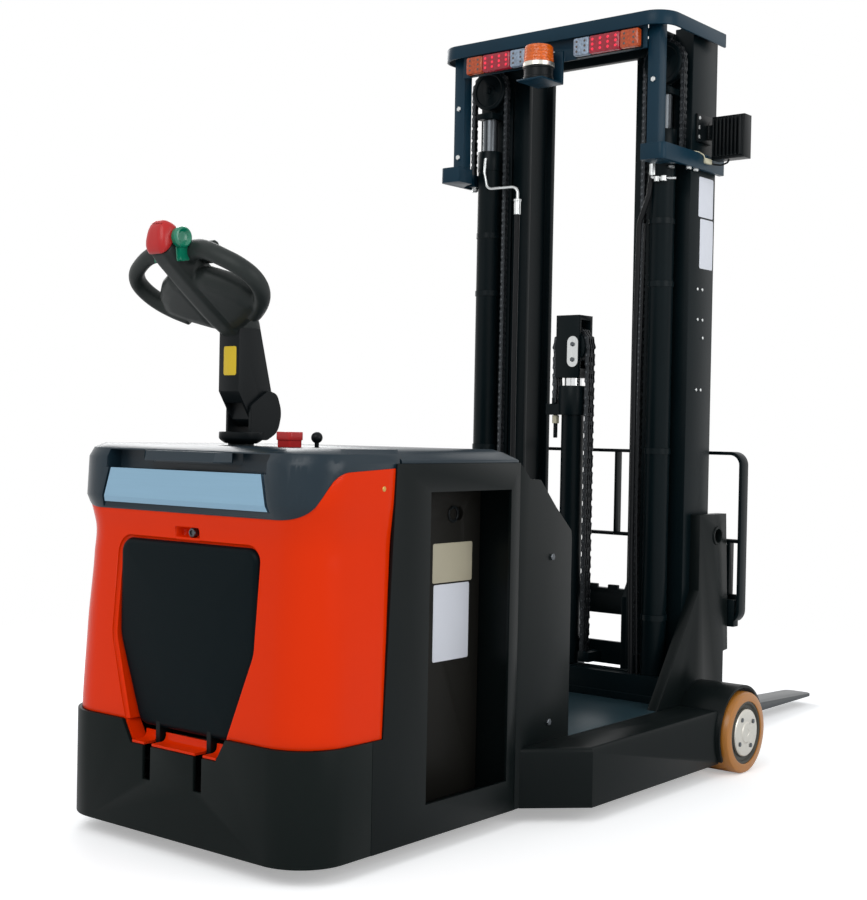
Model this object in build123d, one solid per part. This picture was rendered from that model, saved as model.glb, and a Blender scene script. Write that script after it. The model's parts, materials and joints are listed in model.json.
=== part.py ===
from build123d import *
import math
import os

# Electric pallet stacker with straddle legs and a three stage mast.
# Millimetres. +X points to the fork tips, +Y to the left, +Z up, floor at z = 0.
# While pieces are made, X counts from the rear face of the lower skirt. At the end
# everything moves along X so that the origin lies under the middle of the machine.

# Body
body_half = 408.0
body_wall = 8.0
skirt_top = 286.0
skirt_bottom = 40.0
skirt_wall = 10.0
skirt_corner = 120.0
skirt_side_end = 208.0
notch_floor = 236.0
notch_half_top = 170.0
notch_half_bottom = 140.0
cover_low_x = 241.0
cover_high_x = 273.0
deck_height = 881.0
crest_rise = 31.0
crest_height = deck_height + crest_rise
frame_front = 733.0
frame_wall_x = 339.0
bay_rear = 391.0
bay_front = 697.0
bay_bottom = 116.0
bay_top = deck_height - 64
battery_half = body_half - 105
battery_rear = 349.0
battery_front = 713.0
battery_top = deck_height - 31
front_box_end = 963.0
lid_rear = 290.0
lid_gap = 5.0
knuckle_radius = 4.0
knuckle_half = 350.0
knuckle_count = 7
lid_pin = 1.5
lid_pin_x = frame_front
lid_pin_z = deck_height + 5
brow_height = deck_height - 124
hood_wall = 7.0

# Orange cover and top tray, seen from above at several heights.
# Columns: height, x of the rear face, side inset at the rear corner, corner radius
shell_sections = [
    (skirt_top, 8.0, 8.0, 120.0),
    (skirt_top + 194, 20.0, 16.0, 112.0),
    (brow_height - 67, 36.0, 30.0, 104.0),
    (brow_height - 22, 36.0, 30.0, 104.0),
    (brow_height + 33, 14.0, 14.0, 110.0),
    (deck_height - 1, 20.0, 12.0, 110.0),
    (crest_height - 11, 32.0, 24.0, 102.0),
    (crest_height, 56.0, 48.0, 90.0),
]

# Hand panel on the rear of the tray
panel_low = brow_height + 20
panel_high = panel_low + 79
panel_half_low = 267.0
panel_half_high = 246.0
panel_face_x = 14.0
panel_thick = 12.0
grip_top = crest_height - 14
grip_depth = 62.0
grip_half = 262.0
grip_island_half = 108.0

# Red stop button and key lever on the tray
button_x = 159.0
button_half = 23.0
button_y = -191.0
lever_x = 247.0
lever_y = -190.0

# Chassis
chassis_low = 176.0
chassis_high = 200.0
chassis_rear = 92.0
floor_low = 60.0
floor_high = 80.0
deck_thick = 15.0
deck_front = 1490.0

# Platform
pad_low = skirt_top - 14
pad_high = brow_height - 61
pad_half_high = 226.0
pad_half_low = 150.0
pad_shoulder = pad_high - 226
pad_face_x = 30.0
pad_thick = 38.0
pocket_gap = 7.0
well_radius = 136.5
well_wall = 6.0
well_top = 285.0
turret_radius = 86.0
well_rear = 52.5
hinge_x = 48.0
hinge_z = 212.0
hinge_pin = 9.0
arm_y = 84.0
arm_thick = 14.0
arm_eye = 20.0
lug_thick = 10.0

# Straddle legs and load wheels
leg_reach = 128.0
leg_out = body_half + leg_reach
leg_top = 187.0
deck_high = leg_top
deck_low = deck_high - deck_thick
leg_bottom = 40.0
leg_flare_start = 752.0
leg_wall_round = 12.0
wheel_x = 1641.0
gusset_out = body_half + 2
gusset_thick = 31.0
load_radius = 115.0
load_width = 128.0
wheel_room = 26.0
load_out = gusset_out + wheel_room + load_width
hub_radius = 87.0
cap_radius = 66.5
cap_proud = 2.5
axle_radius = 22.0
axle_depth = 88.0
fender_gap = 10.0
fender_wall = 8.0
fender_out = load_out - 16

# Mast
rail_rear = 1585.0
rail_depth = 146.0
rail_gap = 5.0
outer_out = gusset_out - gusset_thick
outer_width = 60.0
stage_width = 58.0
web = 16.0
stage_web = 12.0
outer_flange = 20.0
stage_flange = 18.0
outer_low = 70.0
guard_top = 2135.0
outer_top = guard_top - 8
stage_step = 10.0
middle_low = outer_low + stage_step
middle_top = outer_top - stage_step
inner_low = middle_low + stage_step
inner_top = middle_top - stage_step
roller_slack = 0.3
roller_pin = 18.0
roller_inset = 80.0
beam_low = deck_high
beam_top = beam_low + 75
gusset_top = 725.0
bush_x = 1733.0
bush_z = 661.0
bush_bore = 21.0
bush_ring = 28.0

# Lift cylinders and side sheaves
cylinder_x = 1543.0
cylinder_y = outer_out - 68
cylinder_radius = 36.0
cylinder_top = guard_top - 305
rod_radius = 23.0
sheave_z = middle_top - 95
yoke_low = sheave_z - 91
sheave_radius = 62.0
sheave_width = 20.0
chain_thick = 16.0
chain_core = 9.0
chain_pitch = 19.05
chain_anchor_top = guard_top - 370

# Free lift cylinder
ram_x = 1571.0
barrel_radius = 34.0
collar_radius = 43.0
barrel_top = 1098.0
collar_low = barrel_top - 88
ram_radius = 26.0
head_low = barrel_top + 24
head_high = head_low + 188
head_half = 41.0
head_sheave_z = head_low + 93
head_sheave_radius = 58.0
head_sheave_width = 46.0
head_cheek = 12.0

# Carriage, backrest and forks
plate_x = 1818.0
plate_thick = 30.0
plate_half = 425.0
upper_low = 385.0
upper_high = 465.0
lower_low = 76.0
lower_high = 152.0
side_gap = 8.0
side_thick = 20.0
fork_y = 190.0
fork_width = 100.0
fork_thick = 35.0
fork_length = 914.0
fork_under = 30.0
fork_tip = 10.0
rest_top = 908.0
rest_half = 442.0
rest_bar = 10.0
rest_depth = 40.0
rest_rod_z = 640.0

# Guard over the mast
guard_half = body_half - 5
guard_rear = 1387.0
guard_front = 1737.0
guard_corner = 70.0
guard_skin = 8.0
guard_lip = 40.0
guard_window_x = 1484.0
post_in = outer_out - 54
post_x = guard_rear + 37
post_size = 38.0
arm_out = outer_out + 17
arm_low = guard_top - 413
arm_high = arm_low + 46
bar_rear = guard_rear + 29
lamp_height = 56.0
lamp_length = 218.0
beacon_x = 1352.0
beacon_y = -2.0
beacon_radius = 46.0
shelf_low = guard_top - 164
shelf_thick = 6.0
beacon_base = 37.0
beacon_band = 13.0
beacon_glass = 54.0
flood_x = 1650.0
flood_z = guard_top - 318
flood_half = 62.0
flood_width = 104.0

# Steering and tiller
steer_x = 195.0
stem_radius = 30.0
base_gap = 5.0
stem_hole = 44.0
drive_radius = 125.0
drive_width = 80.0
caster_y = body_half - 146
caster_radius = 75.0
caster_width = 46.0
caster_trail = 42.0
tiller_pivot_z = crest_height + 78
arm_half = 33.0
ear_thick = 8.0
arm_top = tiller_pivot_z + 190
head_rise = 36.8
head_length = 312.0
loop_radius = 20.0
loop_half = 184.0
spine_end = 272.0
spine_half = 31.0
seat_gap = 0.3


def block(x0, x1, y0, y1, z0, z1):
    return Pos((x0 + x1) / 2, (y0 + y1) / 2, (z0 + z1) / 2) * Box(x1 - x0, y1 - y0, z1 - z0)


def rod_x(y, z, radius, x0, x1):
    return Pos((x0 + x1) / 2, y, z) * Rot(0, 90, 0) * Cylinder(radius, x1 - x0)


def rod_y(x, z, radius, y0, y1):
    return Pos(x, (y0 + y1) / 2, z) * Rot(90, 0, 0) * Cylinder(radius, y1 - y0)


def rod_z(x, y, radius, z0, z1):
    return Pos(x, y, (z0 + z1) / 2) * Cylinder(radius, z1 - z0)


def side_plate(points, y0, y1):
    face = Face(Wire.make_polygon([Vector(x, y0, z) for x, z in points]))
    return extrude(face, y1 - y0, dir=(0, 1, 0))


def floor_plate(points, z0, z1):
    face = Face(Wire.make_polygon([Vector(x, y, z0) for x, y in points]))
    return extrude(face, z1 - z0, dir=(0, 0, 1))


def front_plate(points, x0, x1):
    face = Face(Wire.make_polygon([Vector(x0, y, z) for y, z in points]))
    return extrude(face, x1 - x0, dir=(1, 0, 0))


def mirrored(part):
    return mirror(part, about=Plane.XZ)


# Rear end of the body seen from above: straight sides, round rear corners.
def rear_outline(z, rear, half, radius, front, front_half):
    corners = [(front, -front_half), (rear, -half), (rear, half), (front, front_half)]
    face = Face(Wire.make_polygon([Vector(x, y, z) for x, y in corners]))
    rounded = [v for v in face.vertices() if v.X < rear + 1]
    return face.fillet_2d(radius, rounded)


def shell_loft(inset):
    faces = []
    for z, rear, side_inset, radius in shell_sections:
        top = z if z < crest_height else crest_height - inset
        low = z if z > skirt_top else skirt_top - (1 if inset else 0)
        level = top if z >= crest_height else low
        half = body_half - side_inset
        faces.append(rear_outline(level, rear + inset, half - inset, radius - inset / 2,
                                  lid_rear + 60, body_half - 2 - inset))
    return loft(faces, ruled=True)


# Everything above the brow line, in side view; the tray fills it, the cover stops below it.
def above_brow(drop):
    sky = crest_height + 188
    line = [(-80, brow_height - drop), (34, brow_height - drop), (96, deck_height - 19 - drop),
            (400, deck_height - 3 - drop), (400, sky), (-80, sky)]
    face = Face(Wire.make_polygon([Vector(x, -body_half - 200, z) for x, z in line]))
    low_bend = [v for v in face.vertices() if abs(v.X - 34) < 1]
    face = face.fillet_2d(50, low_bend)
    high_bend = [v for v in face.vertices() if abs(v.X - 96) < 1 and v.Z < deck_height]
    face = face.fillet_2d(60, high_bend)
    return extrude(face, 2 * body_half + 400, dir=(0, 1, 0))


# The seam between the rear covers and the battery frame leans forward.
def behind_seam():
    slope = (cover_high_x - cover_low_x) / (deck_height - skirt_top)
    above = 119
    below = 86
    return side_plate([(-100, skirt_top - below), (cover_low_x - slope * below, skirt_top - below),
                       (cover_high_x + slope * above, deck_height + above), (-100, deck_height + above)],
                      -body_half - 200, body_half + 200)


def top_region():
    return behind_seam() + block(-100, lid_rear - lid_gap, -body_half - 200, body_half + 200,
                                 deck_height, deck_height + 119)


def hood():
    shell = shell_loft(0) - shell_loft(hood_wall)
    shell = (shell & behind_seam()) - above_brow(0)
    outline = [(pad_half_high + pocket_gap, pad_high + pocket_gap),
               (pad_half_high + pocket_gap, pad_shoulder),
               (notch_half_top - 3, skirt_top - 1)]
    points = outline + [(-y, z) for y, z in reversed(outline)]
    pocket_floor = pad_face_x + pad_thick + 12
    pocket = front_plate(points, -50, pocket_floor)
    wide = [(y + (hood_wall if y > 0 else -hood_wall), z + hood_wall * (z > pad_high)) for y, z in points]
    liner = front_plate(wide, pad_face_x - 12, pocket_floor + hood_wall) & shell_loft(0)
    shell = (shell + (liner & behind_seam())) - pocket
    latch = block(-50, pocket_floor - 20, -42, 42, pad_high, pad_high + 34)
    shelf = notch_floor
    foot = notch_half_bottom + 6
    top = notch_half_top + 5
    tongue = front_plate([(-foot, shelf), (foot, shelf), (top, skirt_top + 6), (-top, skirt_top + 6)],
                         skirt_wall + 0.5, well_rear - 2.5)
    foot = foot - 9
    top = top - 8
    rise = shelf + hood_wall
    tongue = tongue - front_plate([(-foot, rise), (foot, rise), (top, skirt_top + 7), (-top, skirt_top + 7)],
                                  skirt_wall, well_rear)
    tongue = tongue + block(4, skirt_wall + 1, -notch_half_bottom + 1, notch_half_bottom - 1, shelf, rise)
    for side in (-1, 1):
        middle = side * arm_y
        tongue = tongue - block(0, well_rear, middle - 13, middle + 13, shelf - 1, rise + 1)
    return shell - latch + tongue


def top_cover():
    shell = shell_loft(0) & top_region() & above_brow(0)
    inner = shell_loft(hood_wall) & block(-100, lid_rear + 100, -body_half, body_half, brow_height - 157,
                                          crest_height - 14)
    liner_face = panel_face_x + panel_thick
    cover = shell - (inner & block(grip_depth + 12, 500, -body_half, body_half, brow_height - 157,
                                   crest_height))
    slot = front_plate([(-panel_half_low - 10, brow_height + 8), (panel_half_low + 10, brow_height + 8),
                        (panel_half_high + 8, panel_high), (-panel_half_high - 8, panel_high)],
                       -60, liner_face)
    hand = block(-60, grip_depth, -grip_half, grip_half, panel_high, grip_top)
    island = floor_plate([(liner_face + 6, -grip_island_half), (grip_depth + 1, -grip_island_half - 40),
                          (grip_depth + 1, grip_island_half + 40), (liner_face + 6, grip_island_half)],
                         panel_high + 16, grip_top + 1)
    cover = cover - slot - (hand - island)
    cover = cover - rod_z(steer_x, 0, stem_hole, brow_height, crest_height + 1)
    return cover


def handle_panel():
    points = [(-panel_half_low, panel_low), (panel_half_low, panel_low),
              (panel_half_high, panel_high), (-panel_half_high, panel_high)]
    panel = front_plate(points, panel_face_x, panel_face_x + panel_thick)
    return panel & shell_loft(0)


def skirt_outline(z, inset):
    return rear_outline(z, inset, body_half - inset, skirt_corner - inset, skirt_side_end,
                        body_half - inset)


def skirt():
    outer = extrude(skirt_outline(skirt_bottom, 0), skirt_top - skirt_bottom, dir=(0, 0, 1))
    inner = extrude(skirt_outline(skirt_bottom - 1, skirt_wall), skirt_top - skirt_bottom + 2,
                    dir=(0, 0, 1))
    wall = outer - inner
    notch = front_plate([(-notch_half_top, skirt_top + 1), (notch_half_top, skirt_top + 1),
                         (notch_half_bottom, notch_floor), (-notch_half_bottom, notch_floor)], -1, 60)
    wall = wall - notch
    for side in (-1, 1):
        middle = side * arm_y
        wall = wall - block(-1, 60, middle - 13, middle + 13, 160, notch_floor + 1)
    return wall


def chassis():
    inner = body_half - skirt_wall
    rear = floor_plate([(chassis_rear, -300), (190, -inner), (frame_wall_x, -inner),
                        (frame_wall_x, inner), (190, inner), (chassis_rear, 300)],
                       chassis_low, chassis_high)
    well = rod_z(steer_x, 0, well_radius + well_wall, chassis_low, well_top)
    step = pad_face_x + pad_thick + 8
    well = well - block(0, step, -well_radius, well_radius, pad_low - 10, well_top + 1)
    room = rod_z(steer_x, 0, well_radius, chassis_low - 40, well_top - 12)
    room = room - block(0, step + well_wall, -well_radius, well_radius, pad_low - 16, well_top + 1)
    rear = rear + well - room
    rear = rear - rod_z(steer_x, 0, turret_radius + 5, chassis_low, well_top + 1)
    for side in (-1, 1):
        for face in (-1, 1):
            middle = side * arm_y + face * (arm_thick / 2 + 1.5 + lug_thick / 2)
            low = middle - lug_thick / 2
            high = middle + lug_thick / 2
            lug = side_plate([(chassis_rear + 20, chassis_low), (chassis_rear + 20, chassis_high),
                              (hinge_x + 18, hinge_z + 16), (hinge_x, hinge_z + 18),
                              (hinge_x - 4, hinge_z - 18), (chassis_rear, chassis_low)], low, high)
            rear = rear + lug + rod_y(hinge_x, hinge_z, 18, low, high)
        reach = arm_thick / 2 + 1.5 + lug_thick
        rear = rear + rod_y(hinge_x, hinge_z, hinge_pin, side * arm_y - reach, side * arm_y + reach)
    return rear - room


def deck():
    plate = block(front_box_end, deck_front, -body_half, body_half, deck_low, deck_high)
    rib = block(front_box_end, deck_front, 150, 162, leg_bottom + 60, deck_low)
    return plate + rib + mirrored(rib)


def battery_frame():
    side = [(skirt_side_end, skirt_bottom), (skirt_side_end, skirt_top), (cover_low_x, skirt_top),
            (cover_high_x, deck_height), (frame_front, deck_height), (frame_front, skirt_bottom)]
    frame = side_plate(side, -body_half, body_half)
    inside = body_half - body_wall
    frame = frame - block(0, frame_wall_x, -inside, inside, 0, deck_height + 1)
    frame = frame - block(frame_wall_x + body_wall, frame_front - body_wall, -inside, inside,
                          floor_high, deck_height + 1)
    frame = frame - block(0, frame_front + 1, -inside, inside, 0, floor_low)
    frame = frame - block(bay_rear, bay_front, -body_half - 1, body_half + 1, bay_bottom, bay_top)
    bore = rod_y(lid_pin_x, lid_pin_z, lid_pin + 0.3, -knuckle_half, knuckle_half)
    return frame + knuckles(1) - bore


# Half of the lid's piano hinge: every second knuckle, each as a short tube on the pin line.
def knuckles(first):
    span = 2 * knuckle_half / knuckle_count
    made = None
    for index in range(first, knuckle_count, 2):
        low = -knuckle_half + index * span + 0.5
        tube = rod_y(lid_pin_x, lid_pin_z, knuckle_radius, low, low + span - 1)
        foot = block(lid_pin_x - 3, lid_pin_x, low, low + span - 1, deck_height - 1, lid_pin_z)
        piece = tube + foot if first else tube
        made = piece if made is None else made + piece
    return made


def battery():
    box = block(battery_rear, battery_front, -battery_half, battery_half, floor_high, battery_top)
    for side in (-1, 1):
        for x in (bay_rear + 70, bay_front - 70):
            box = box - rod_y(x, bay_top - 60, 17, side * battery_half - 12, side * battery_half + 12)
    return box


def battery_lid():
    front = frame_front - lid_gap
    low = deck_height + 0.3
    outline = [(-body_half + 3, low), (-body_half + 3, low + 7), (-body_half + 30, crest_height - 7),
               (-body_half + 52, crest_height)]
    points = outline + [(-y, z) for y, z in reversed(outline)]
    lid = front_plate(points, lid_rear, front)
    nose = side_plate([(front - 42, crest_height + 1), (front, crest_height - 26),
                       (front + 1, crest_height + 1)], -body_half, body_half)
    lid = lid - nose
    slots = knuckles(0)
    for solid in slots.solids():
        span = solid.bounding_box()
        lid = lid + block(front - 6, lid_pin_x, span.min.Y, span.max.Y, lid_pin_z - 1.5, lid_pin_z + 0.5)
    return lid + slots + rod_y(lid_pin_x, lid_pin_z, lid_pin, -knuckle_half + 1, knuckle_half - 1)


def front_box():
    crest = [(frame_front, deck_height), (frame_front + 45, deck_height - 41),
             (frame_front + 87, deck_height - 42), (frame_front + 159, deck_height - 113),
             (front_box_end - 3, deck_height - 172)]
    side = [(frame_front, skirt_bottom)] + crest + [(front_box_end, deck_height - 191),
                                                    (front_box_end, skirt_bottom)]
    box = side_plate(side, -body_half, body_half)
    inside = body_half - body_wall
    low_crest = [(x, z - body_wall - 2) for x, z in crest]
    low_crest[0] = (frame_front + body_wall, low_crest[0][1])
    low_crest[-1] = (front_box_end - body_wall, low_crest[-1][1])
    room = [(frame_front + body_wall, floor_high)] + low_crest + [(front_box_end - body_wall, floor_high)]
    box = box - side_plate(room, -inside, inside)
    return box - block(frame_front - 1, front_box_end + 1, -inside, inside, skirt_bottom - 1, floor_low)


def leg():
    reach = wheel_x - load_radius + 30
    plan = [(leg_flare_start, body_half), (leg_flare_start + leg_out - body_half, leg_out),
            (reach, leg_out), (reach, gusset_out), (front_box_end, gusset_out),
            (front_box_end, body_half)]
    tube = floor_plate(plan, leg_bottom, leg_top)
    edges = [e for e in tube.edges().filter_by(GeomType.LINE)
             if abs(e.center().Z - leg_top) < 1 and e.center().Y > body_half + 5
             and e.center().X < reach - 5]
    tube = fillet(edges, leg_wall_round)
    bore = load_radius + fender_gap
    tube = tube - rod_y(wheel_x, load_radius, bore + fender_wall, body_half - 1, 700)
    tube = tube.solids().sort_by(Axis.X)[0]
    ring = rod_y(wheel_x, load_radius, bore + fender_wall, gusset_out, fender_out)
    ring = ring - rod_y(wheel_x, load_radius, bore, gusset_out - 1, fender_out + 1)
    away = 400
    low_angle = math.radians(212)
    front_angle = math.radians(28)
    cut = [(wheel_x, load_radius),
           (wheel_x + away * math.cos(low_angle), load_radius + away * math.sin(low_angle)),
           (wheel_x, load_radius - away),
           (wheel_x + away, load_radius - away),
           (wheel_x + away * math.cos(front_angle), load_radius + away * math.sin(front_angle))]
    ring = ring - side_plate(cut, 0, 700)
    return tube + ring


def gusset():
    front = bush_x + 53
    outline = [(1402, deck_high), (1627, gusset_top - 219), (1627, gusset_top), (front, gusset_top),
               (front + 25, 319), (front - 2, 316), (front - 2, leg_bottom), (deck_front, leg_bottom),
               (deck_front, deck_high)]
    plate = side_plate(outline, outer_out, gusset_out)
    ring = rod_y(bush_x, bush_z, bush_ring, gusset_out, gusset_out + 4)
    inner = load_out - load_width
    axle = rod_y(wheel_x, load_radius, axle_radius, gusset_out, inner + axle_depth)
    boss = rod_y(wheel_x, load_radius, 40, gusset_out, inner - 6)
    return plate + ring + boss + axle - rod_y(bush_x, bush_z, bush_bore, outer_out - 1, gusset_out + 10)


def load_wheel():
    inner = load_out - load_width
    tyre = rod_y(wheel_x, load_radius, load_radius, inner, load_out)
    tyre = fillet([e for e in tyre.edges() if e.geom_type == GeomType.CIRCLE], 8)
    tyre = tyre - rod_y(wheel_x, load_radius, hub_radius, inner - 1, load_out + 1)
    hub = rod_y(wheel_x, load_radius, hub_radius, inner, load_out - 2)
    hub = hub + rod_y(wheel_x, load_radius, cap_radius, load_out - 2, load_out + cap_proud)
    hub = hub - rod_y(wheel_x, load_radius, axle_radius + 0.3, inner - 1, inner + axle_depth + 0.3)
    return [tyre, hub]


# One C or I section rail on the left side, open flanges towards the named faces.
def rail(y0, y1, low, top, flange, web_low, web_high):
    front = rail_rear + rail_depth
    parts = block(rail_rear, rail_rear + flange, y0, y1, low, top)
    parts = parts + block(front - flange, front, y0, y1, low, top)
    return parts + block(rail_rear + flange - 1, front - flange + 1, web_low, web_high, low, top)


rail_mid = rail_rear + rail_depth / 2
outer_in = outer_out - outer_width
middle_out = outer_in - rail_gap
middle_in = middle_out - stage_width
inner_out = middle_in - rail_gap
inner_in = inner_out - stage_width
middle_web = (middle_out + middle_in) / 2
inner_web = (inner_out + inner_in) / 2
outer_roller = rail_depth / 2 - outer_flange - roller_slack
stage_roller = rail_depth / 2 - stage_flange - roller_slack
side_out = inner_in - side_gap


def outer_rail():
    channel = rail(outer_in, outer_out, outer_low, outer_top, outer_flange, outer_out - web, outer_out)
    z = outer_top - roller_inset
    face = middle_web + stage_web / 2
    roller = rod_y(rail_mid, z, stage_roller, face + 4, middle_out - 2)
    return channel + roller + rod_y(rail_mid, z, roller_pin, middle_out - 3, outer_out - web + 1)


def middle_rail():
    channel = rail(middle_in, middle_out, middle_low, middle_top, stage_flange,
                   middle_web - stage_web / 2, middle_web + stage_web / 2)
    low = middle_low + roller_inset
    roller = rod_y(rail_mid, low, outer_roller, outer_in + 3, outer_out - web - 3)
    channel = channel + roller + rod_y(rail_mid, low, roller_pin, middle_web, outer_in + 4)
    high = middle_top - roller_inset
    face = inner_web + stage_web / 2
    channel = channel + rod_y(rail_mid, high, stage_roller, face + 4, inner_out - 2)
    return channel + rod_y(rail_mid, high, roller_pin, inner_out - 3, middle_web)


def inner_rail():
    channel = rail(inner_in, inner_out, inner_low, inner_top, stage_flange,
                   inner_web - stage_web / 2, inner_web + stage_web / 2)
    low = inner_low + roller_inset + 10
    face = middle_web - stage_web / 2
    roller = rod_y(rail_mid, low, stage_roller, middle_in + 2, face - 4)
    return channel + roller + rod_y(rail_mid, low, roller_pin, inner_web, middle_in + 3)


def outer_beam():
    beam = block(1497, 1529, -outer_out, outer_out, beam_low, beam_top)
    foot = block(1529, rail_rear, outer_in, outer_out, beam_low, beam_top)
    seat = block(1529, rail_rear - rail_gap, cylinder_y - 38, outer_in, beam_low, beam_top)
    sill = block(deck_front, 1497, -body_half + 30, body_half - 30, beam_low - 37, beam_low + 20)
    beam = beam + foot + seat + mirrored(foot) + mirrored(seat) + sill
    return beam


def middle_low_beam():
    beam = block(1535, 1550, -middle_in - 12, middle_in + 12, beam_low + 8, beam_top - 7)
    ear = block(1550, rail_rear, middle_in, middle_in + 12, beam_low + 8, beam_top - 7)
    return beam + ear + mirrored(ear)


def inner_low_beam():
    beam = block(1556, rail_rear - rail_gap, -inner_out, inner_out, beam_low + 8, beam_top)
    ear = block(rail_rear - rail_gap, rail_rear, inner_in, inner_out, beam_low + 8, beam_top)
    lug = block(1530, 1556, inner_out - 14, inner_out + 8, beam_top + 20, beam_top + 50)
    arm = block(1556, rail_rear - rail_gap, inner_out - 14, inner_out, beam_top, beam_top + 50)
    for piece in (ear, lug + arm):
        beam = beam + piece + mirrored(piece)
    return beam


def inner_top_beam():
    beam = block(1558, rail_rear - rail_gap, -inner_out, inner_out, inner_top - 52, inner_top)
    ear = block(rail_rear - rail_gap, rail_rear, inner_in, inner_out, inner_top - 52, inner_top)
    return beam + ear + mirrored(ear)


def middle_top_beam():
    low = sheave_z + sheave_radius + chain_thick + 4
    beam = block(1490, 1524, -middle_out, middle_out, low, middle_top)
    arm = block(1524, rail_rear, middle_in + 6, middle_out, low, middle_top)
    return beam + arm + mirrored(arm)


def lift_cylinder():
    barrel = rod_z(cylinder_x, cylinder_y, cylinder_radius, beam_top, cylinder_top - 60)
    gland = rod_z(cylinder_x, cylinder_y, cylinder_radius + 2, cylinder_top - 60, cylinder_top)
    bore = rod_z(cylinder_x, cylinder_y, rod_radius + 0.5, beam_top + 20, cylinder_top + 1)
    return barrel + gland - bore


def lift_rod():
    rod = rod_z(cylinder_x, cylinder_y, rod_radius, beam_top + 40, yoke_low)
    base = block(cylinder_x - 34, cylinder_x + 34, cylinder_y - 30, cylinder_y + 30, yoke_low,
                 yoke_low + 18)
    top = sheave_z + sheave_radius + chain_thick + 4
    gap = sheave_width / 2 + 2
    front = block(cylinder_x + gap + 8, cylinder_x + 34, cylinder_y - 30, cylinder_y + 3,
                  yoke_low + 18, top)
    pin = rod_x(cylinder_y, sheave_z, 11, cylinder_x - gap - 9, cylinder_x + 30)
    wheel = rod_x(cylinder_y, sheave_z, sheave_radius - chain_core / 2, cylinder_x - sheave_width / 2,
                  cylinder_x + sheave_width / 2)
    for side in (-1, 1):
        edge = cylinder_x + side * (sheave_width / 2 + 2)
        wheel = wheel + rod_x(cylinder_y, sheave_z, sheave_radius - 1, min(edge, edge - side * 2.5),
                              max(edge, edge - side * 2.5))
    return rod + base + front + pin + wheel


# A leaf chain run: a core strap with wider plates at every second pitch.
def chain_run(x, y, z0, z1, width):
    run = block(x - width / 2, x + width / 2, y - chain_core / 2, y + chain_core / 2, z0, z1)
    count = int((z1 - z0) // (2 * chain_pitch))
    spare = (z1 - z0) - count * 2 * chain_pitch
    for step in range(count):
        z = z0 + spare / 2 + step * 2 * chain_pitch
        run = run + block(x - width / 2 - 1, x + width / 2 + 1, y - chain_thick / 2,
                          y + chain_thick / 2, z + 4, z + chain_pitch - 1)
    return run


def chain_arc(x, y, z, radius, width):
    arc = rod_x(y, z, radius + chain_core / 2, x - width / 2, x + width / 2)
    arc = arc - rod_x(y, z, radius - chain_core / 2 + 0.2, x - width, x + width)
    return arc & block(x - width, x + width, y - 200, y + 200, z, z + 300)


def side_chain():
    out = chain_run(cylinder_x, cylinder_y + sheave_radius, chain_anchor_top, sheave_z, 16)
    inward = chain_run(cylinder_x, cylinder_y - sheave_radius, beam_top + 50, sheave_z, 16)
    return out + inward + chain_arc(cylinder_x, cylinder_y, sheave_z, sheave_radius, 16)


def free_lift_barrel():
    barrel = rod_z(ram_x, 0, barrel_radius, beam_top, collar_low)
    collar = rod_z(ram_x, 0, collar_radius, collar_low, barrel_top)
    anchor = block(ram_x - 17, ram_x + 17, collar_radius - 8, collar_radius + 45, collar_low,
                   collar_low + 34)
    stay = block(1556, ram_x, -26, 26, beam_top, beam_top + 8)
    barrel = barrel + collar + anchor + stay
    return barrel - rod_z(ram_x, 0, ram_radius + 0.5, beam_top + 30, barrel_top + 1)


def ram():
    rod = rod_z(ram_x, 0, ram_radius, beam_top + 60, head_low)
    foot = block(ram_x - 37, ram_x + 37, -head_half + 6, head_half - 6, head_low, head_low + 28)
    half = head_sheave_width / 2 + 2
    head = rod + foot
    for x0, x1 in ((ram_x - half - head_cheek, ram_x - half), (ram_x + half, ram_x + half + head_cheek)):
        head = head + block(x0, x1, -head_half, head_half, head_low, head_high)
    head = head + block(ram_x - half, ram_x + half, -head_half, head_half, head_high - 14, head_high)
    pin = rod_x(0, head_sheave_z, 13, ram_x - half, ram_x + half)
    wheel = rod_x(0, head_sheave_z, head_sheave_radius - chain_core / 2, ram_x - half + 1, ram_x + half - 1)
    return head + pin + wheel


def free_lift_chain():
    radius = head_sheave_radius
    left = chain_run(ram_x, radius, collar_low + 34, head_sheave_z, 38)
    right = chain_run(ram_x, -radius, 300, head_sheave_z, 38)
    return left + right + chain_arc(ram_x, 0, head_sheave_z, radius, 38)


def carriage():
    front = plate_x + plate_thick
    upper = block(plate_x, front, -plate_half, plate_half, upper_low, upper_high)
    for y in range(-380, 400, 76):
        upper = upper + block(plate_x, plate_x + 14, y - 18, y + 18, upper_high, upper_high + 12)
    lower = block(plate_x, front, -plate_half + 60, plate_half - 60, lower_low, lower_high)
    rear = rail_rear + 19
    side = side_plate([(rear, lower_low + 34), (rear, upper_high + 5), (rear + 56, upper_high + 95),
                       (rear + 96, upper_high + 95), (plate_x, upper_high - 20), (plate_x, lower_low)],
                      side_out - side_thick, side_out)
    for z in (170, 470):
        roller = rod_y(rail_mid, z, stage_roller, inner_in + 2, inner_web - stage_web / 2 - 4)
        side = side + roller + rod_y(rail_mid, z, roller_pin, side_out - 1, inner_in + 3)
    tie = block(rear + 18, rear + 33, -side_out + side_thick, side_out - side_thick, 262, 330)
    lug = block(ram_x - 22, rear + 18, -head_sheave_radius - 30, -head_sheave_radius + 9, 270, 300)
    return upper + lower + side + mirrored(side) + tie + lug


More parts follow.
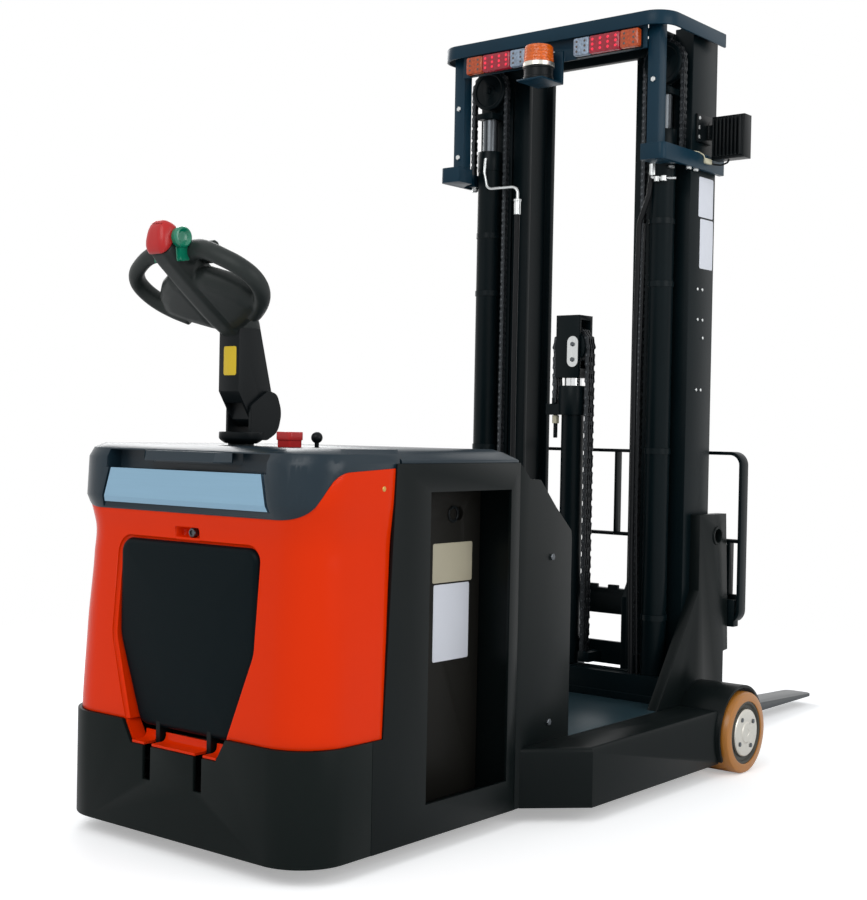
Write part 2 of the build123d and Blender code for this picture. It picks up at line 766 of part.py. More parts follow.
def fork():
    front = plate_x + plate_thick
    heel = front + fork_thick
    tip = heel + fork_length
    y0 = fork_y - fork_width / 2
    y1 = fork_y + fork_width / 2
    outline = [(front + 0.0, fork_under), (front, upper_high + 26), (heel, upper_high + 26),
               (heel, fork_under + fork_thick + 12), (heel + 12, fork_under + fork_thick),
               (heel + 380, fork_under + fork_thick), (tip, fork_under + fork_tip), (tip, fork_under)]
    shape = side_plate(outline, y0, y1)
    lip = block(plate_x - 16, front, y0 + 12, y1 - 12, upper_high + 12.3, upper_high + 26)
    tips = [e for e in shape.edges() if abs(e.center().X - tip) < 0.1 and e.bounding_box().size.Z > 5]
    return fillet(tips, 28) + lip


def backrest():
    low = upper_high - 70
    points = [(rest_half, low), (rest_half, rest_top), (-rest_half, rest_top), (-rest_half, low)]
    outer = Face(Wire.make_polygon([Vector(plate_x, y, z) for y, z in points]))
    outer = outer.fillet_2d(40, outer.vertices())
    inset = [(rest_half - rest_bar, low + rest_bar), (rest_half - rest_bar, rest_top - rest_bar),
             (-rest_half + rest_bar, rest_top - rest_bar), (-rest_half + rest_bar, low + rest_bar)]
    inner = Face(Wire.make_polygon([Vector(plate_x - 1, y, z) for y, z in inset]))
    inner = inner.fillet_2d(30, inner.vertices())
    loop = extrude(outer, rest_depth, dir=(1, 0, 0)) - extrude(inner, rest_depth + 2, dir=(1, 0, 0))
    window = block(plate_x - 1, plate_x + rest_depth + 1, -plate_half, plate_half, low - 1, upper_high + 1)
    loop = loop - window
    middle = plate_x + rest_depth / 2
    loop = loop + rod_y(middle, rest_rod_z, 6, -rest_half + 5, rest_half - 5)
    loop = loop + block(middle - 15, middle + 15, -4, 4, rest_rod_z, rest_top - rest_bar + 1)
    for side in (-1, 1):
        y = side * 395
        foot = block(plate_x + plate_thick, plate_x + rest_depth, y - 22, y + 22, upper_low + 8,
                     upper_high + 14)
        bar = block(middle - 8, plate_x + rest_depth, y - 5, y + 5, upper_high + 13, rest_rod_z)
        loop = loop + foot + bar
    return loop


def guard():
    plan = [(guard_front, -guard_half), (guard_rear, -guard_half), (guard_rear, guard_half),
            (guard_front, guard_half)]
    low = guard_top - guard_lip
    face = Face(Wire.make_polygon([Vector(x, y, low) for x, y in plan]))
    face = face.fillet_2d(guard_corner, [v for v in face.vertices() if v.X < guard_rear + 1])
    body = extrude(face, guard_lip, dir=(0, 0, 1))
    skin = guard_skin
    inner = [(guard_front + 1, -guard_half + skin), (guard_rear + skin, -guard_half + skin),
             (guard_rear + skin, guard_half - skin), (guard_front + 1, guard_half - skin)]
    hollow = Face(Wire.make_polygon([Vector(x, y, low - 1) for x, y in inner]))
    hollow = hollow.fillet_2d(guard_corner - skin, [v for v in hollow.vertices() if v.X < guard_rear + skin + 1])
    body = body - extrude(hollow, guard_lip - skin + 1, dir=(0, 0, 1))
    wide = outer_out + 10
    window = floor_plate([(guard_window_x, -wide), (1604, -wide), (1604, -outer_in - 3.5),
                          (guard_front + 1, -outer_in - 3.5), (guard_front + 1, outer_in + 3.5),
                          (1604, outer_in + 3.5), (1604, wide), (guard_window_x, wide)], low, guard_top + 1)
    body = body - window
    bar = block(bar_rear, bar_rear + 8, -post_in, post_in, low - lamp_height, guard_top - skin)
    shelf = block(beacon_x - beacon_radius - 2, bar_rear, beacon_y - beacon_radius,
                  beacon_y + beacon_radius, shelf_low, shelf_low + shelf_thick)
    hanger = block(bar_rear - 8, bar_rear, beacon_y - beacon_radius, beacon_y + beacon_radius,
                   shelf_low + shelf_thick, low - lamp_height + 30)
    return body + bar + shelf + hanger


def guard_frame():
    post = block(post_x, post_x + post_size, post_in, post_in + post_size, arm_high, guard_top - guard_skin)
    inner = post_in - 4
    rear = post_x - 26
    front = rail_rear + rail_depth + 21
    arm = floor_plate([(rear, inner), (rear, arm_out), (front, arm_out), (front, outer_out),
                       (rail_rear, outer_out), (rail_rear, arm_out - 10), (cylinder_x - 35, arm_out - 10),
                       (post_x + 54, inner + 29), (post_x + 42, inner)], arm_low, arm_high)
    corner = [e for e in arm.edges().filter_by(Axis.Z)
              if e.center().X < rear + 1 and e.center().Y > inner + 9]
    arm = fillet(corner, 18)
    lug = block(cylinder_x - 12, cylinder_x + 12, cylinder_y + sheave_radius - 10, arm_out - 9,
                arm_low + 6, chain_anchor_top)
    return post + arm + lug


def tail_lamps():
    low = guard_top - guard_lip - lamp_height
    lamps = []
    for start in (76, -313):
        lamp = block(guard_rear, bar_rear, start, start + lamp_length, low, guard_top - guard_lip)
        lamps.append(fillet(lamp.edges().filter_by(Axis.X), 6))
    return lamps


def beacon():
    foot = shelf_low + shelf_thick
    neck = foot + beacon_base
    glass = neck + beacon_band
    base = rod_z(beacon_x, beacon_y, beacon_radius - 1.5, foot, neck)
    ring = rod_z(beacon_x, beacon_y, beacon_radius, neck, glass)
    lens = rod_z(beacon_x, beacon_y, beacon_radius - 4, glass, glass + beacon_glass)
    for step in range(3):
        low = glass + 6 + step * 15
        lens = lens + rod_z(beacon_x, beacon_y, beacon_radius - 2, low, low + 6)
    return base + ring + lens


def floodlight():
    near = -outer_out - 22
    far = near - flood_width
    plate = block(flood_x - 44, flood_x + 40, -outer_out - 7, -outer_out, flood_z - 14, flood_z + 66)
    neck = block(flood_x + 16, flood_x + 40, near - 1, -outer_out - 6, flood_z, flood_z + 40)
    body = block(flood_x + 14, flood_x + 56, far, near, flood_z - flood_half, flood_z + flood_half)
    ribs = 8
    for step in range(ribs):
        y = far + 8 + step * (flood_width - 20) / (ribs - 1)
        body = body + block(flood_x, flood_x + 15, y, y + 4, flood_z - flood_half + 8,
                            flood_z + flood_half - 8)
    return plate + neck + body


def stop_button():
    half = button_half - 3
    base = block(button_x - half, button_x + half, button_y - half, button_y + half, crest_height,
                 crest_height + 16)
    half = button_half
    cap = block(button_x - half, button_x + half, button_y - half, button_y + half, crest_height + 16,
                crest_height + 34)
    return fillet(base.edges().filter_by(Axis.Z), 5) + fillet(cap.edges().filter_by(Axis.Z), 9)


def lever():
    stalk = rod_z(lever_x, lever_y, 5, crest_height, crest_height + 14)
    return stalk + Pos(lever_x, lever_y, crest_height + 22) * Sphere(13)


def platform():
    face_x = pad_face_x
    outline = [(pad_half_high, pad_high), (pad_half_high, pad_shoulder), (pad_half_low, pad_low)]
    points = outline + [(-y, z) for y, z in reversed(outline)]
    face = Face(Wire.make_polygon([Vector(face_x, y, z) for y, z in points]))
    face = face.fillet_2d(34, face.vertices())
    pad = extrude(face, pad_thick, dir=(1, 0, 0))
    rim = [e for e in pad.edges() if abs(e.center().X - face_x) < 0.1]
    pad = chamfer(rim, 14)
    for side in (-1, 1):
        y = side * arm_y
        bar = side_plate([(hinge_x - arm_eye + 6, hinge_z), (hinge_x - arm_eye + 4, pad_low + 0.0),
                          (hinge_x - arm_eye + 4, pad_low + 60), (pad_face_x + pad_thick, pad_low + 60),
                          (pad_face_x + pad_thick, pad_low), (hinge_x + arm_eye - 6, hinge_z)],
                         y - arm_thick / 2, y + arm_thick / 2)
        eye = rod_y(hinge_x, hinge_z, arm_eye - 4, y - arm_thick / 2, y + arm_thick / 2)
        bore = rod_y(hinge_x, hinge_z, hinge_pin + 0.3, y - arm_thick, y + arm_thick)
        pad = pad + (bar + eye - bore)
    return pad


def drive_unit():
    stem = rod_z(steer_x, 0, stem_radius, 470, crest_height + base_gap)
    motor = rod_z(steer_x, 0, 78, well_top + 12, 470)
    flange = rod_z(steer_x, 0, 102, well_top + 0.3, well_top + 12)
    turret = rod_z(steer_x, 0, turret_radius, 266, well_top + 1)
    crown = block(steer_x - 68, steer_x + 68, -52, 84, 256, 267)
    cheek = side_plate([(steer_x - 60, 257), (steer_x - 60, drive_radius), (steer_x - 42, 78),
                        (steer_x + 42, 78), (steer_x + 60, drive_radius), (steer_x + 60, 257)], 46, 84)
    gear = rod_y(steer_x, drive_radius, 60, 46, 84)
    axle = rod_y(steer_x, drive_radius, 24, -drive_width / 2 + 10, 50)
    return stem + motor + flange + turret + crown + cheek + gear + axle


def drive_wheel():
    half = drive_width / 2
    wheel = rod_y(steer_x, drive_radius, drive_radius, -half, half)
    wheel = fillet([e for e in wheel.edges() if e.geom_type == GeomType.CIRCLE], 6)
    return wheel - rod_y(steer_x, drive_radius, 24.3, -half + 9.7, half + 1)


def caster_fork():
    crown_low = 2 * caster_radius + 6
    head = rod_z(steer_x, caster_y, 42, crown_low + 6, chassis_low - seat_gap)
    crown = block(steer_x - caster_trail - 22, steer_x + 30, caster_y - 38, caster_y + 38, crown_low,
                  crown_low + 6)
    fork = head + crown
    x = steer_x - caster_trail
    for side in (-1, 1):
        y0 = caster_y + side * 29
        y1 = caster_y + side * 36
        cheek = side_plate([(x - 20, crown_low), (x - 16, caster_radius), (x + 16, caster_radius),
                            (steer_x + 24, crown_low)], min(y0, y1), max(y0, y1))
        fork = fork + cheek + rod_y(x, caster_radius, 16, min(y0, y1), max(y0, y1))
    return fork + rod_y(x, caster_radius, 8, caster_y - 36, caster_y + 36)


def caster_wheel():
    x = steer_x - caster_trail
    half = caster_width / 2
    wheel = rod_y(x, caster_radius, caster_radius, caster_y - half, caster_y + half)
    wheel = fillet([e for e in wheel.edges() if e.geom_type == GeomType.CIRCLE], 5)
    return wheel - rod_y(x, caster_radius, 8.3, caster_y - half - 1, caster_y + half + 1)


def tiller_base():
    low = crest_height + base_gap
    foot = rod_z(steer_x, 0, 52, low, low + 10)
    rear = block(steer_x - 50, steer_x - 7, -arm_half, arm_half, low + 8, low + 27)
    rear = fillet([e for e in rear.edges().filter_by(Axis.Z) if e.center().X < steer_x - 40], 10)
    whole = foot + rear + block(steer_x - 7, steer_x + 55, -arm_half, arm_half, low + 8, low + 15)
    pivot_x = steer_x + 40
    for side in (-1, 1):
        y0 = side * (arm_half + 1)
        y1 = side * (arm_half + 1 + ear_thick)
        pivot = tiller_pivot_z
        outline = [(steer_x - 10, low + 8), (steer_x - 10, pivot + 14), (steer_x + 46, pivot + 50),
                   (steer_x + 74, pivot + 42), (steer_x + 90, pivot), (steer_x + 78, pivot - 46),
                   (steer_x + 44, low + 8)]
        whole = whole + side_plate(outline, min(y0, y1), max(y0, y1))
        whole = whole + block(steer_x - 10, steer_x + 44, min(side * (arm_half - 1), y1),
                              max(side * (arm_half - 1), y1), low + 8, low + 15)
    reach = arm_half + 1 + ear_thick
    return whole + rod_y(pivot_x, tiller_pivot_z, 9, -reach, reach)


def tiller_arm():
    rear = steer_x - 42
    front = steer_x + 40
    pivot = tiller_pivot_z
    outline = [(rear, pivot + 46), (rear, arm_top), (front - 16, arm_top), (front + 26, tiller_pivot_z + 34),
               (front + 26, tiller_pivot_z - 18), (front + 18, tiller_pivot_z - 34),
               (front - 20, tiller_pivot_z - 34), (rear + 43, pivot - 22)]
    arm = side_plate(outline, -arm_half, arm_half)
    channel = block(rear - 1, rear + 40, -arm_half + 6, arm_half - 6, pivot - 50, pivot + 20)
    return arm - channel - rod_y(front, tiller_pivot_z, 9.3, -arm_half - 1, arm_half + 1)


head_angle = math.radians(head_rise)
head_plane = Plane(origin=(steer_x - 4, 0, arm_top), x_dir=(-math.cos(head_angle), 0, math.sin(head_angle)),
                   z_dir=(math.sin(head_angle), 0, math.cos(head_angle)))


def in_head(part):
    return head_plane.location * part


def tiller_head():
    spine_start = -20
    spine = Pos((spine_start + spine_end) / 2, 0, 10) * Box(spine_end - spine_start, 2 * spine_half, 56)
    spine = fillet(spine.edges().filter_by(Axis.X), 16)
    head = spine
    for side in (-1, 1):
        dome = Pos(68, side * 56, 2) * scale(Sphere(10), by=(7.8, 8.2, 5.6))
        path = FilletPolyline((252, side * 20, 14), (244, side * 132, 10), (190, side * loop_half, 0),
                              (112, side * loop_half, -8), (44, side * 92, -6), (36, side * 30, -4), radius=34)
        ring = Plane(origin=path @ 0, z_dir=path % 0) * Circle(loop_radius)
        head = head + dome + sweep(ring, path=path)
    neck = Pos(14, 0, -6) * Box(70, 60, 44)
    head = head + neck
    head = in_head(head)
    return head - block(-500, 600, -300, 300, tiller_pivot_z - 90, arm_top)


def belly_button():
    depth = head_length + 22 - spine_end
    cap = Pos(spine_end + seat_gap + depth / 2, 0, 12) * Box(depth, 2 * spine_half + 2, 60)
    nose = [e for e in cap.edges() if e.center().X > spine_end + depth / 2 - 1]
    cap = fillet(nose, 22)
    return in_head(cap)


def butterfly():
    knobs = []
    for side in (-1, 1):
        middle = side * (spine_half + seat_gap + 12)
        grip = Pos(208, middle, 53) * Rot(90, 0, 0) * Cylinder(26, 24)
        paddle = Pos(188, middle, 32) * Rot(0, 35, 0) * Box(24, 24, 44)
        knobs.append(in_head(grip + paddle))
    return knobs


# Node name, solids, mirrored to the right side or not
left_and_right = {
    "leg": leg, "gusset": gusset, "load_wheel": load_wheel, "mast_outer": outer_rail,
    "mast_middle": middle_rail, "mast_inner": inner_rail, "lift_cylinder": lift_cylinder,
    "lift_rod": lift_rod, "side_chain": side_chain, "fork": fork, "guard_frame": guard_frame,
    "caster_fork": caster_fork, "caster_wheel": caster_wheel,
}
single = {
    "hood": hood, "top_cover": top_cover, "handle_panel": handle_panel, "skirt": skirt,
    "chassis": chassis, "deck": deck, "battery_frame": battery_frame, "battery": battery,
    "battery_lid": battery_lid, "front_box": front_box, "outer_beam": outer_beam,
    "middle_low_beam": middle_low_beam, "inner_low_beam": inner_low_beam,
    "inner_top_beam": inner_top_beam, "middle_top_beam": middle_top_beam,
    "free_lift_barrel": free_lift_barrel, "ram": ram, "free_lift_chain": free_lift_chain,
    "carriage": carriage, "backrest": backrest, "guard": guard, "tail_lamps": tail_lamps,
    "beacon": beacon, "floodlight": floodlight, "stop_button": stop_button, "lever": lever,
    "platform": platform, "drive_unit": drive_unit, "drive_wheel": drive_wheel,
    "tiller_base": tiller_base, "tiller_arm": tiller_arm, "tiller_head": tiller_head,
    "belly_button": belly_button, "butterfly": butterfly,
}


def solids_of(made):
    pieces = made if isinstance(made, list) else [made]
    found = []
    for piece in pieces:
        found.extend(piece.solids())
    return found


nodes = {}
for name, make in single.items():
    nodes[name] = solids_of(make())
for name, make in left_and_right.items():
    left = solids_of(make())
    nodes[name + "_left"] = left
    nodes[name + "_right"] = [mirror(solid, about=Plane.XZ) for solid in left]

fork_end = plate_x + plate_thick + fork_thick + fork_length
rear_end = min(solid.bounding_box().min.X for solid in nodes["belly_button"])
middle_x = (fork_end + rear_end) / 2
print("rear end %.3f, fork end %.3f, origin at x = %.3f" % (rear_end, fork_end, middle_x))

os.makedirs("parts", exist_ok=True)
for name, solids in nodes.items():
    moved = [Pos(-middle_x, 0, 0) * solid for solid in solids]
    shape = moved[0] if len(moved) == 1 else Compound(children=moved)
    export_step(shape, "parts/" + name + ".step")
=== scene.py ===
import json
import math

import bmesh
import bpy
from mathutils import Matrix, Vector

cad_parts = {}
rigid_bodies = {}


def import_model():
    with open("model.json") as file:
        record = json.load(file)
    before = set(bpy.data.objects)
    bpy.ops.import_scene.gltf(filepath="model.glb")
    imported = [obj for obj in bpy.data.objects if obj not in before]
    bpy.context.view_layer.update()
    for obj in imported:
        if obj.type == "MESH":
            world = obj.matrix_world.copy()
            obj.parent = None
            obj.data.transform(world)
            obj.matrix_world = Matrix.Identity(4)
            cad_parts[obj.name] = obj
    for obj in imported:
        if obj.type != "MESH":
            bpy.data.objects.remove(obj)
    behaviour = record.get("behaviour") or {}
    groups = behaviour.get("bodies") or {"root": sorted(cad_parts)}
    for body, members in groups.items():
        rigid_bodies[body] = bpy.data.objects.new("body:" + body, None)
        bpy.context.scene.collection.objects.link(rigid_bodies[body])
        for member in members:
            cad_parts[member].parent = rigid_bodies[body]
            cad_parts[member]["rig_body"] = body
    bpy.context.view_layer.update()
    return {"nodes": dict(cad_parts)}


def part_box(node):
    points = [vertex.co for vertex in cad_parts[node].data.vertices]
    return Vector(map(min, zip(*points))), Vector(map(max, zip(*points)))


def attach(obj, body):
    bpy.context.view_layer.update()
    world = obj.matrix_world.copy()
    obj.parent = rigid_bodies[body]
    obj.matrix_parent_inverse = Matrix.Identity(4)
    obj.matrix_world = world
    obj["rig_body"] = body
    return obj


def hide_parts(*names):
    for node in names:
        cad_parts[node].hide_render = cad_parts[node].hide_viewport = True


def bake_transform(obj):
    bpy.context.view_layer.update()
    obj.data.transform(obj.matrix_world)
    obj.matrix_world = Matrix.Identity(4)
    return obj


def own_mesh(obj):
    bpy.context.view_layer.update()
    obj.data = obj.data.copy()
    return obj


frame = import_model()
cadNodes = frame["nodes"]

# Pieces are measured in millimetres from the rear face of the skirt, like a shop drawing.
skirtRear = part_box("skirt")[0][0]


def at(x, y, z):
    return Vector((skirtRear + x / 1000, y / 1000, z / 1000))


def newObject(name, data):
    thing = bpy.data.objects.new(name, data)
    bpy.context.scene.collection.objects.link(thing)
    return thing


def put(tree, kind, links=None, values=None, **settings):
    # a node with its settings, its fixed values and what feeds its sockets
    node = tree.nodes.new(kind)
    for label, value in settings.items():
        setattr(node, label, value)
    for socket, value in (values or {}).items():
        node.inputs[socket].default_value = value
    for socket, source in (links or {}).items():
        tree.links.new(source, node.inputs[socket])
    return node


# Camera, floor and light
viewOfPhoto = {
    "focalPixels": 1466.04, "longSide": 900, "sensor": 36.0,
    "yaw": 38.8506, "pitch": 0.76187, "roll": 1.09488,
    "place": (-2155.0, -2462.0, 954.95), "clipEnd": 60,
}


def makeCamera():
    v = viewOfPhoto
    yaw, pitch, roll = (math.radians(v[k]) for k in ("yaw", "pitch", "roll"))
    ahead = Vector((math.cos(yaw) * math.cos(pitch), math.sin(yaw) * math.cos(pitch), -math.sin(pitch)))
    level = Vector((math.sin(yaw), -math.cos(yaw), 0))
    upright = level.cross(ahead)
    right = math.cos(roll) * level + math.sin(roll) * upright
    up = math.cos(roll) * upright - math.sin(roll) * level
    data = bpy.data.cameras.new("photoCamera")
    data.sensor_fit = "AUTO"
    data.sensor_width = v["sensor"]
    data.lens = v["focalPixels"] * v["sensor"] / v["longSide"]
    data.clip_end = v["clipEnd"]
    camera = newObject("photoCamera", data)
    turn = Matrix((right, up, -ahead)).transposed().to_4x4()
    camera.matrix_world = Matrix.Translation(at(*v["place"])) @ turn
    bpy.context.scene.camera = camera


studio = {
    "floorSize": 14.0, "floorMiddle": (1300, 0, 0), "floorColor": 0.97, "floorGlow": 0.34,
    "clearFrom": 1.7, "clearTo": 3.6, "worldLight": 0.60, "worldTint": (0.94, 0.97, 1.0, 1),
    # name, place, what it is turned to, size, power
    "lamps": [("keyLamp", (-2900, -900, 3300), (500, 0, 500), 2.6, 62),
              ("sideLamp", (900, -4200, 2100), (1300, 0, 700), 2.4, 50),
              ("rimLamp", (2600, 3000, 2800), (1500, 0, 900), 2.0, 50)],
}


def makeLamps():
    for name, place, target, size, power in studio["lamps"]:
        data = bpy.data.lights.new(name, "AREA")
        data.shape = "SQUARE"
        data.size = size
        data.energy = power
        lamp = newObject(name, data)
        lamp.location = at(*place)
        lamp.rotation_euler = (at(*target) - lamp.location).to_track_quat("-Z", "Y").to_euler()


def makeWorld():
    world = bpy.data.worlds.new("paleStudio")
    bpy.context.scene.world = world
    world.use_nodes = True
    tree = world.node_tree
    tree.nodes.clear()
    ray = put(tree, "ShaderNodeLightPath").outputs
    clear = put(tree, "ShaderNodeMath", {0: ray["Is Glossy Ray"], 1: ray["Is Transmission Ray"]},
                operation="MAXIMUM")
    seen = put(tree, "ShaderNodeMath", {0: ray["Is Camera Ray"], 1: clear.outputs[0]}, operation="MAXIMUM")
    soft = put(tree, "ShaderNodeBackground", None,
               {"Color": studio["worldTint"], "Strength": studio["worldLight"]})
    white = put(tree, "ShaderNodeBackground", None, {"Color": (1, 1, 1, 1), "Strength": 1.0})
    mix = put(tree, "ShaderNodeMixShader", {0: seen.outputs[0], 1: soft.outputs[0], 2: white.outputs[0]})
    put(tree, "ShaderNodeOutputWorld", {0: mix.outputs[0]})


def makeFloor():
    # pale paper that fades out far from the machine, with its shadow kept
    s = studio
    half = s["floorSize"] / 2
    middle = at(*s["floorMiddle"])
    corners = [(middle.x + a * half, middle.y + b * half, 0)
               for a, b in ((-1, -1), (1, -1), (1, 1), (-1, 1))]
    mesh = bpy.data.meshes.new("paleFloor")
    mesh.from_pydata(corners, [], [(0, 1, 2, 3)])
    material = bpy.data.materials.new("floorPaper")
    material.use_nodes = True
    tree = material.node_tree
    tree.nodes.clear()
    grey = s["floorColor"]
    paper = put(tree, "ShaderNodeBsdfDiffuse", None, {"Color": (grey, grey, grey, 1)})
    ray = put(tree, "ShaderNodeLightPath")
    lift = put(tree, "ShaderNodeMath", {0: ray.outputs["Is Camera Ray"]}, {1: s["floorGlow"]},
               operation="MULTIPLY")
    glow = put(tree, "ShaderNodeEmission", {"Strength": lift.outputs[0]})
    both = put(tree, "ShaderNodeAddShader", {0: paper.outputs[0], 1: glow.outputs[0]})
    place = put(tree, "ShaderNodeTexCoord")
    away = put(tree, "ShaderNodeVectorMath", {0: place.outputs["Object"]}, {1: (middle.x, middle.y, 0)},
               operation="DISTANCE")
    fade = put(tree, "ShaderNodeMapRange", {"Value": away.outputs["Value"]},
               {"From Min": s["clearFrom"], "From Max": s["clearTo"]}, interpolation_type="SMOOTHSTEP")
    through = put(tree, "ShaderNodeBsdfTransparent")
    mix = put(tree, "ShaderNodeMixShader",
              {0: fade.outputs["Result"], 1: both.outputs[0], 2: through.outputs[0]})
    put(tree, "ShaderNodeOutputMaterial", {0: mix.outputs[0]})
    mesh.materials.append(material)
    newObject("paleFloor", mesh)


makeCamera()
makeWorld()
makeFloor()
makeLamps()
bpy.context.scene.view_settings.view_transform = "Standard"
print("camera, floor and light made")


# Effects that several finishes share
def newGroup(name, kind, inputs, outputs):
    tree = bpy.data.node_groups.new(name, kind)
    for label, socketKind, *value in inputs:
        socket = tree.interface.new_socket(name=label, in_out="INPUT", socket_type="NodeSocket" + socketKind)
        if value:
            socket.default_value = value[0]
    for label, socketKind in outputs:
        tree.interface.new_socket(name=label, in_out="OUTPUT", socket_type="NodeSocket" + socketKind)
    return tree, tree.nodes.new("NodeGroupInput").outputs, tree.nodes.new("NodeGroupOutput").inputs


changeInputs = [("Color", "Color", (0.1, 0.1, 0.1, 1)), ("Color Change", "Float", 0.1),
                ("Roughness", "Float", 0.4), ("Roughness Change", "Float", 0.08)]
changeOutputs = [("Color", "Color"), ("Roughness", "Float")]


def addChange(tree, start, end, pattern):
    # tone and gloss swing round their middle values with the pattern
    swing = put(tree, "ShaderNodeMath", {0: pattern}, {1: 0.5}, operation="SUBTRACT").outputs[0]
    tone = put(tree, "ShaderNodeMath", {0: swing, 1: start["Color Change"]}, {2: 1.0},
               operation="MULTIPLY_ADD")
    shade = put(tree, "ShaderNodeHueSaturation", {"Value": tone.outputs[0], "Color": start["Color"]})
    rough = put(tree, "ShaderNodeMath", {0: swing, 1: start["Roughness Change"], 2: start["Roughness"]},
                operation="MULTIPLY_ADD")
    tree.links.new(shade.outputs["Color"], end["Color"])
    tree.links.new(rough.outputs[0], end["Roughness"])


def makeGrainGroup():
    # fine skin of powder coat or moulded plastic, and soft cloudy change of gloss
    tree, start, end = newGroup("surfaceGrain", "ShaderNodeTree", changeInputs + [
        ("Grain Scale", "Float", 900.0), ("Grain Depth", "Float", 0.0001), ("Cloud Scale", "Float", 4.0)],
        changeOutputs + [("Normal", "Vector")])
    place = put(tree, "ShaderNodeTexCoord").outputs["Object"]
    grain = put(tree, "ShaderNodeTexNoise", {"Vector": place, "Scale": start["Grain Scale"]},
                {"Detail": 2.0})
    bump = put(tree, "ShaderNodeBump", {"Distance": start["Grain Depth"], "Height": grain.outputs["Fac"]},
               {"Strength": 0.6})
    tree.links.new(bump.outputs["Normal"], end["Normal"])
    cloud = put(tree, "ShaderNodeTexNoise", {"Vector": place, "Scale": start["Cloud Scale"]},
                {"Detail": 5.0})
    addChange(tree, start, end, cloud.outputs["Fac"])
    return tree


def makeBrushGroup():
    # drawn lines of brushed or turned metal along one axis
    tree, start, end = newGroup("brushedLines", "ShaderNodeTree", changeInputs + [
        ("Line Scale", "Float", 300.0), ("Stretch", "Vector", (1.0, 0.02, 1.0))], changeOutputs)
    place = put(tree, "ShaderNodeTexCoord").outputs["Object"]
    stretch = put(tree, "ShaderNodeVectorMath", {0: place, 1: start["Stretch"]}, operation="MULTIPLY")
    lines = put(tree, "ShaderNodeTexNoise", {"Vector": stretch.outputs[0], "Scale": start["Line Scale"]},
                {"Detail": 3.0})
    addChange(tree, start, end, lines.outputs["Fac"])
    return tree


grainGroup = makeGrainGroup()
brushGroup = makeBrushGroup()

# Finishes with a grained skin: colour, grain size, depth, colour change, roughness, its change, gloss, coat
grainedFinishes = {
    "blackPaint": ((0.0040, 0.0064, 0.0066), 420, 0.00012, 0.35, 0.34, 0.14, 0.11, 0.0),
    "blueBlackPaint": ((0.0036, 0.0260, 0.0460), 420, 0.00012, 0.35, 0.36, 0.12, 0.16, 0.0),
    "railBlack": ((0.0022, 0.0060, 0.0075), 300, 0.00010, 0.40, 0.34, 0.16, 0.10, 0.0),
    "skirtBlack": ((0.0048, 0.0078, 0.0074), 800, 0.00016, 0.25, 0.42, 0.08, 0.09, 0.0),
    "orangeCover": ((0.72, 0.030, 0.0004), 60, 0.00006, 0.07, 0.24, 0.05, 0.06, 0.06),
    "trayBlack": ((0.0070, 0.0190, 0.0290), 900, 0.00010, 0.25, 0.30, 0.08, 0.30, 0.0),
    "padBlack": ((0.0010, 0.0048, 0.0064), 1100, 0.00020, 0.25, 0.40, 0.08, 0.06, 0.0),
    "handleGrey": ((0.0170, 0.0215, 0.0205), 1500, 0.00018, 0.15, 0.45, 0.06, 0.20, 0.0),
    "armBlack": ((0.0040, 0.0060, 0.0070), 700, 0.00012, 0.3, 0.36, 0.1, 0.14, 0.0),
    "buttonRed": ((0.46, 0.018, 0.018), 300, 0.00005, 0.10, 0.32, 0.05, 0.25, 0.1),
    "thumbGreen": ((0.0, 0.19, 0.105), 300, 0.00005, 0.10, 0.24, 0.05, 0.5, 0.3),
    "batteryCase": ((0.0100, 0.0095, 0.0080), 120, 0.00020, 0.5, 0.5, 0.1, 0.12, 0.0),
    "amberTread": ((0.40, 0.155, 0.022), 160, 0.00010, 0.25, 0.30, 0.08, 0.45, 0.1),
    "wheelHub": ((0.040, 0.040, 0.032), 160, 0.00020, 0.35, 0.48, 0.1, 0.4, 0.0),
    "darkRubber": ((0.010, 0.010, 0.010), 500, 0.00020, 0.3, 0.6, 0.08, 0.12, 0.0),
    "deckBlue": ((0.016, 0.036, 0.046), 260, 0.00012, 0.45, 0.34, 0.14, 0.3, 0.0),
    "hoseBlack": ((0.006, 0.007, 0.008), 900, 0.00010, 0.2, 0.42, 0.08, 0.15, 0.0),
    "plateBeige": ((0.46, 0.42, 0.31), 240, 0.00003, 0.10, 0.5, 0.06, 0.35, 0.0),
    "plateWhite": ((0.72, 0.74, 0.80), 240, 0.00002, 0.04, 0.42, 0.05, 0.4, 0.0),
    "plateYellow": ((0.72, 0.50, 0.015), 240, 0.00002, 0.06, 0.4, 0.05, 0.4, 0.0),
    "creamPlastic": ((0.62, 0.58, 0.42), 240, 0.00002, 0.06, 0.4, 0.05, 0.4, 0.0),
}
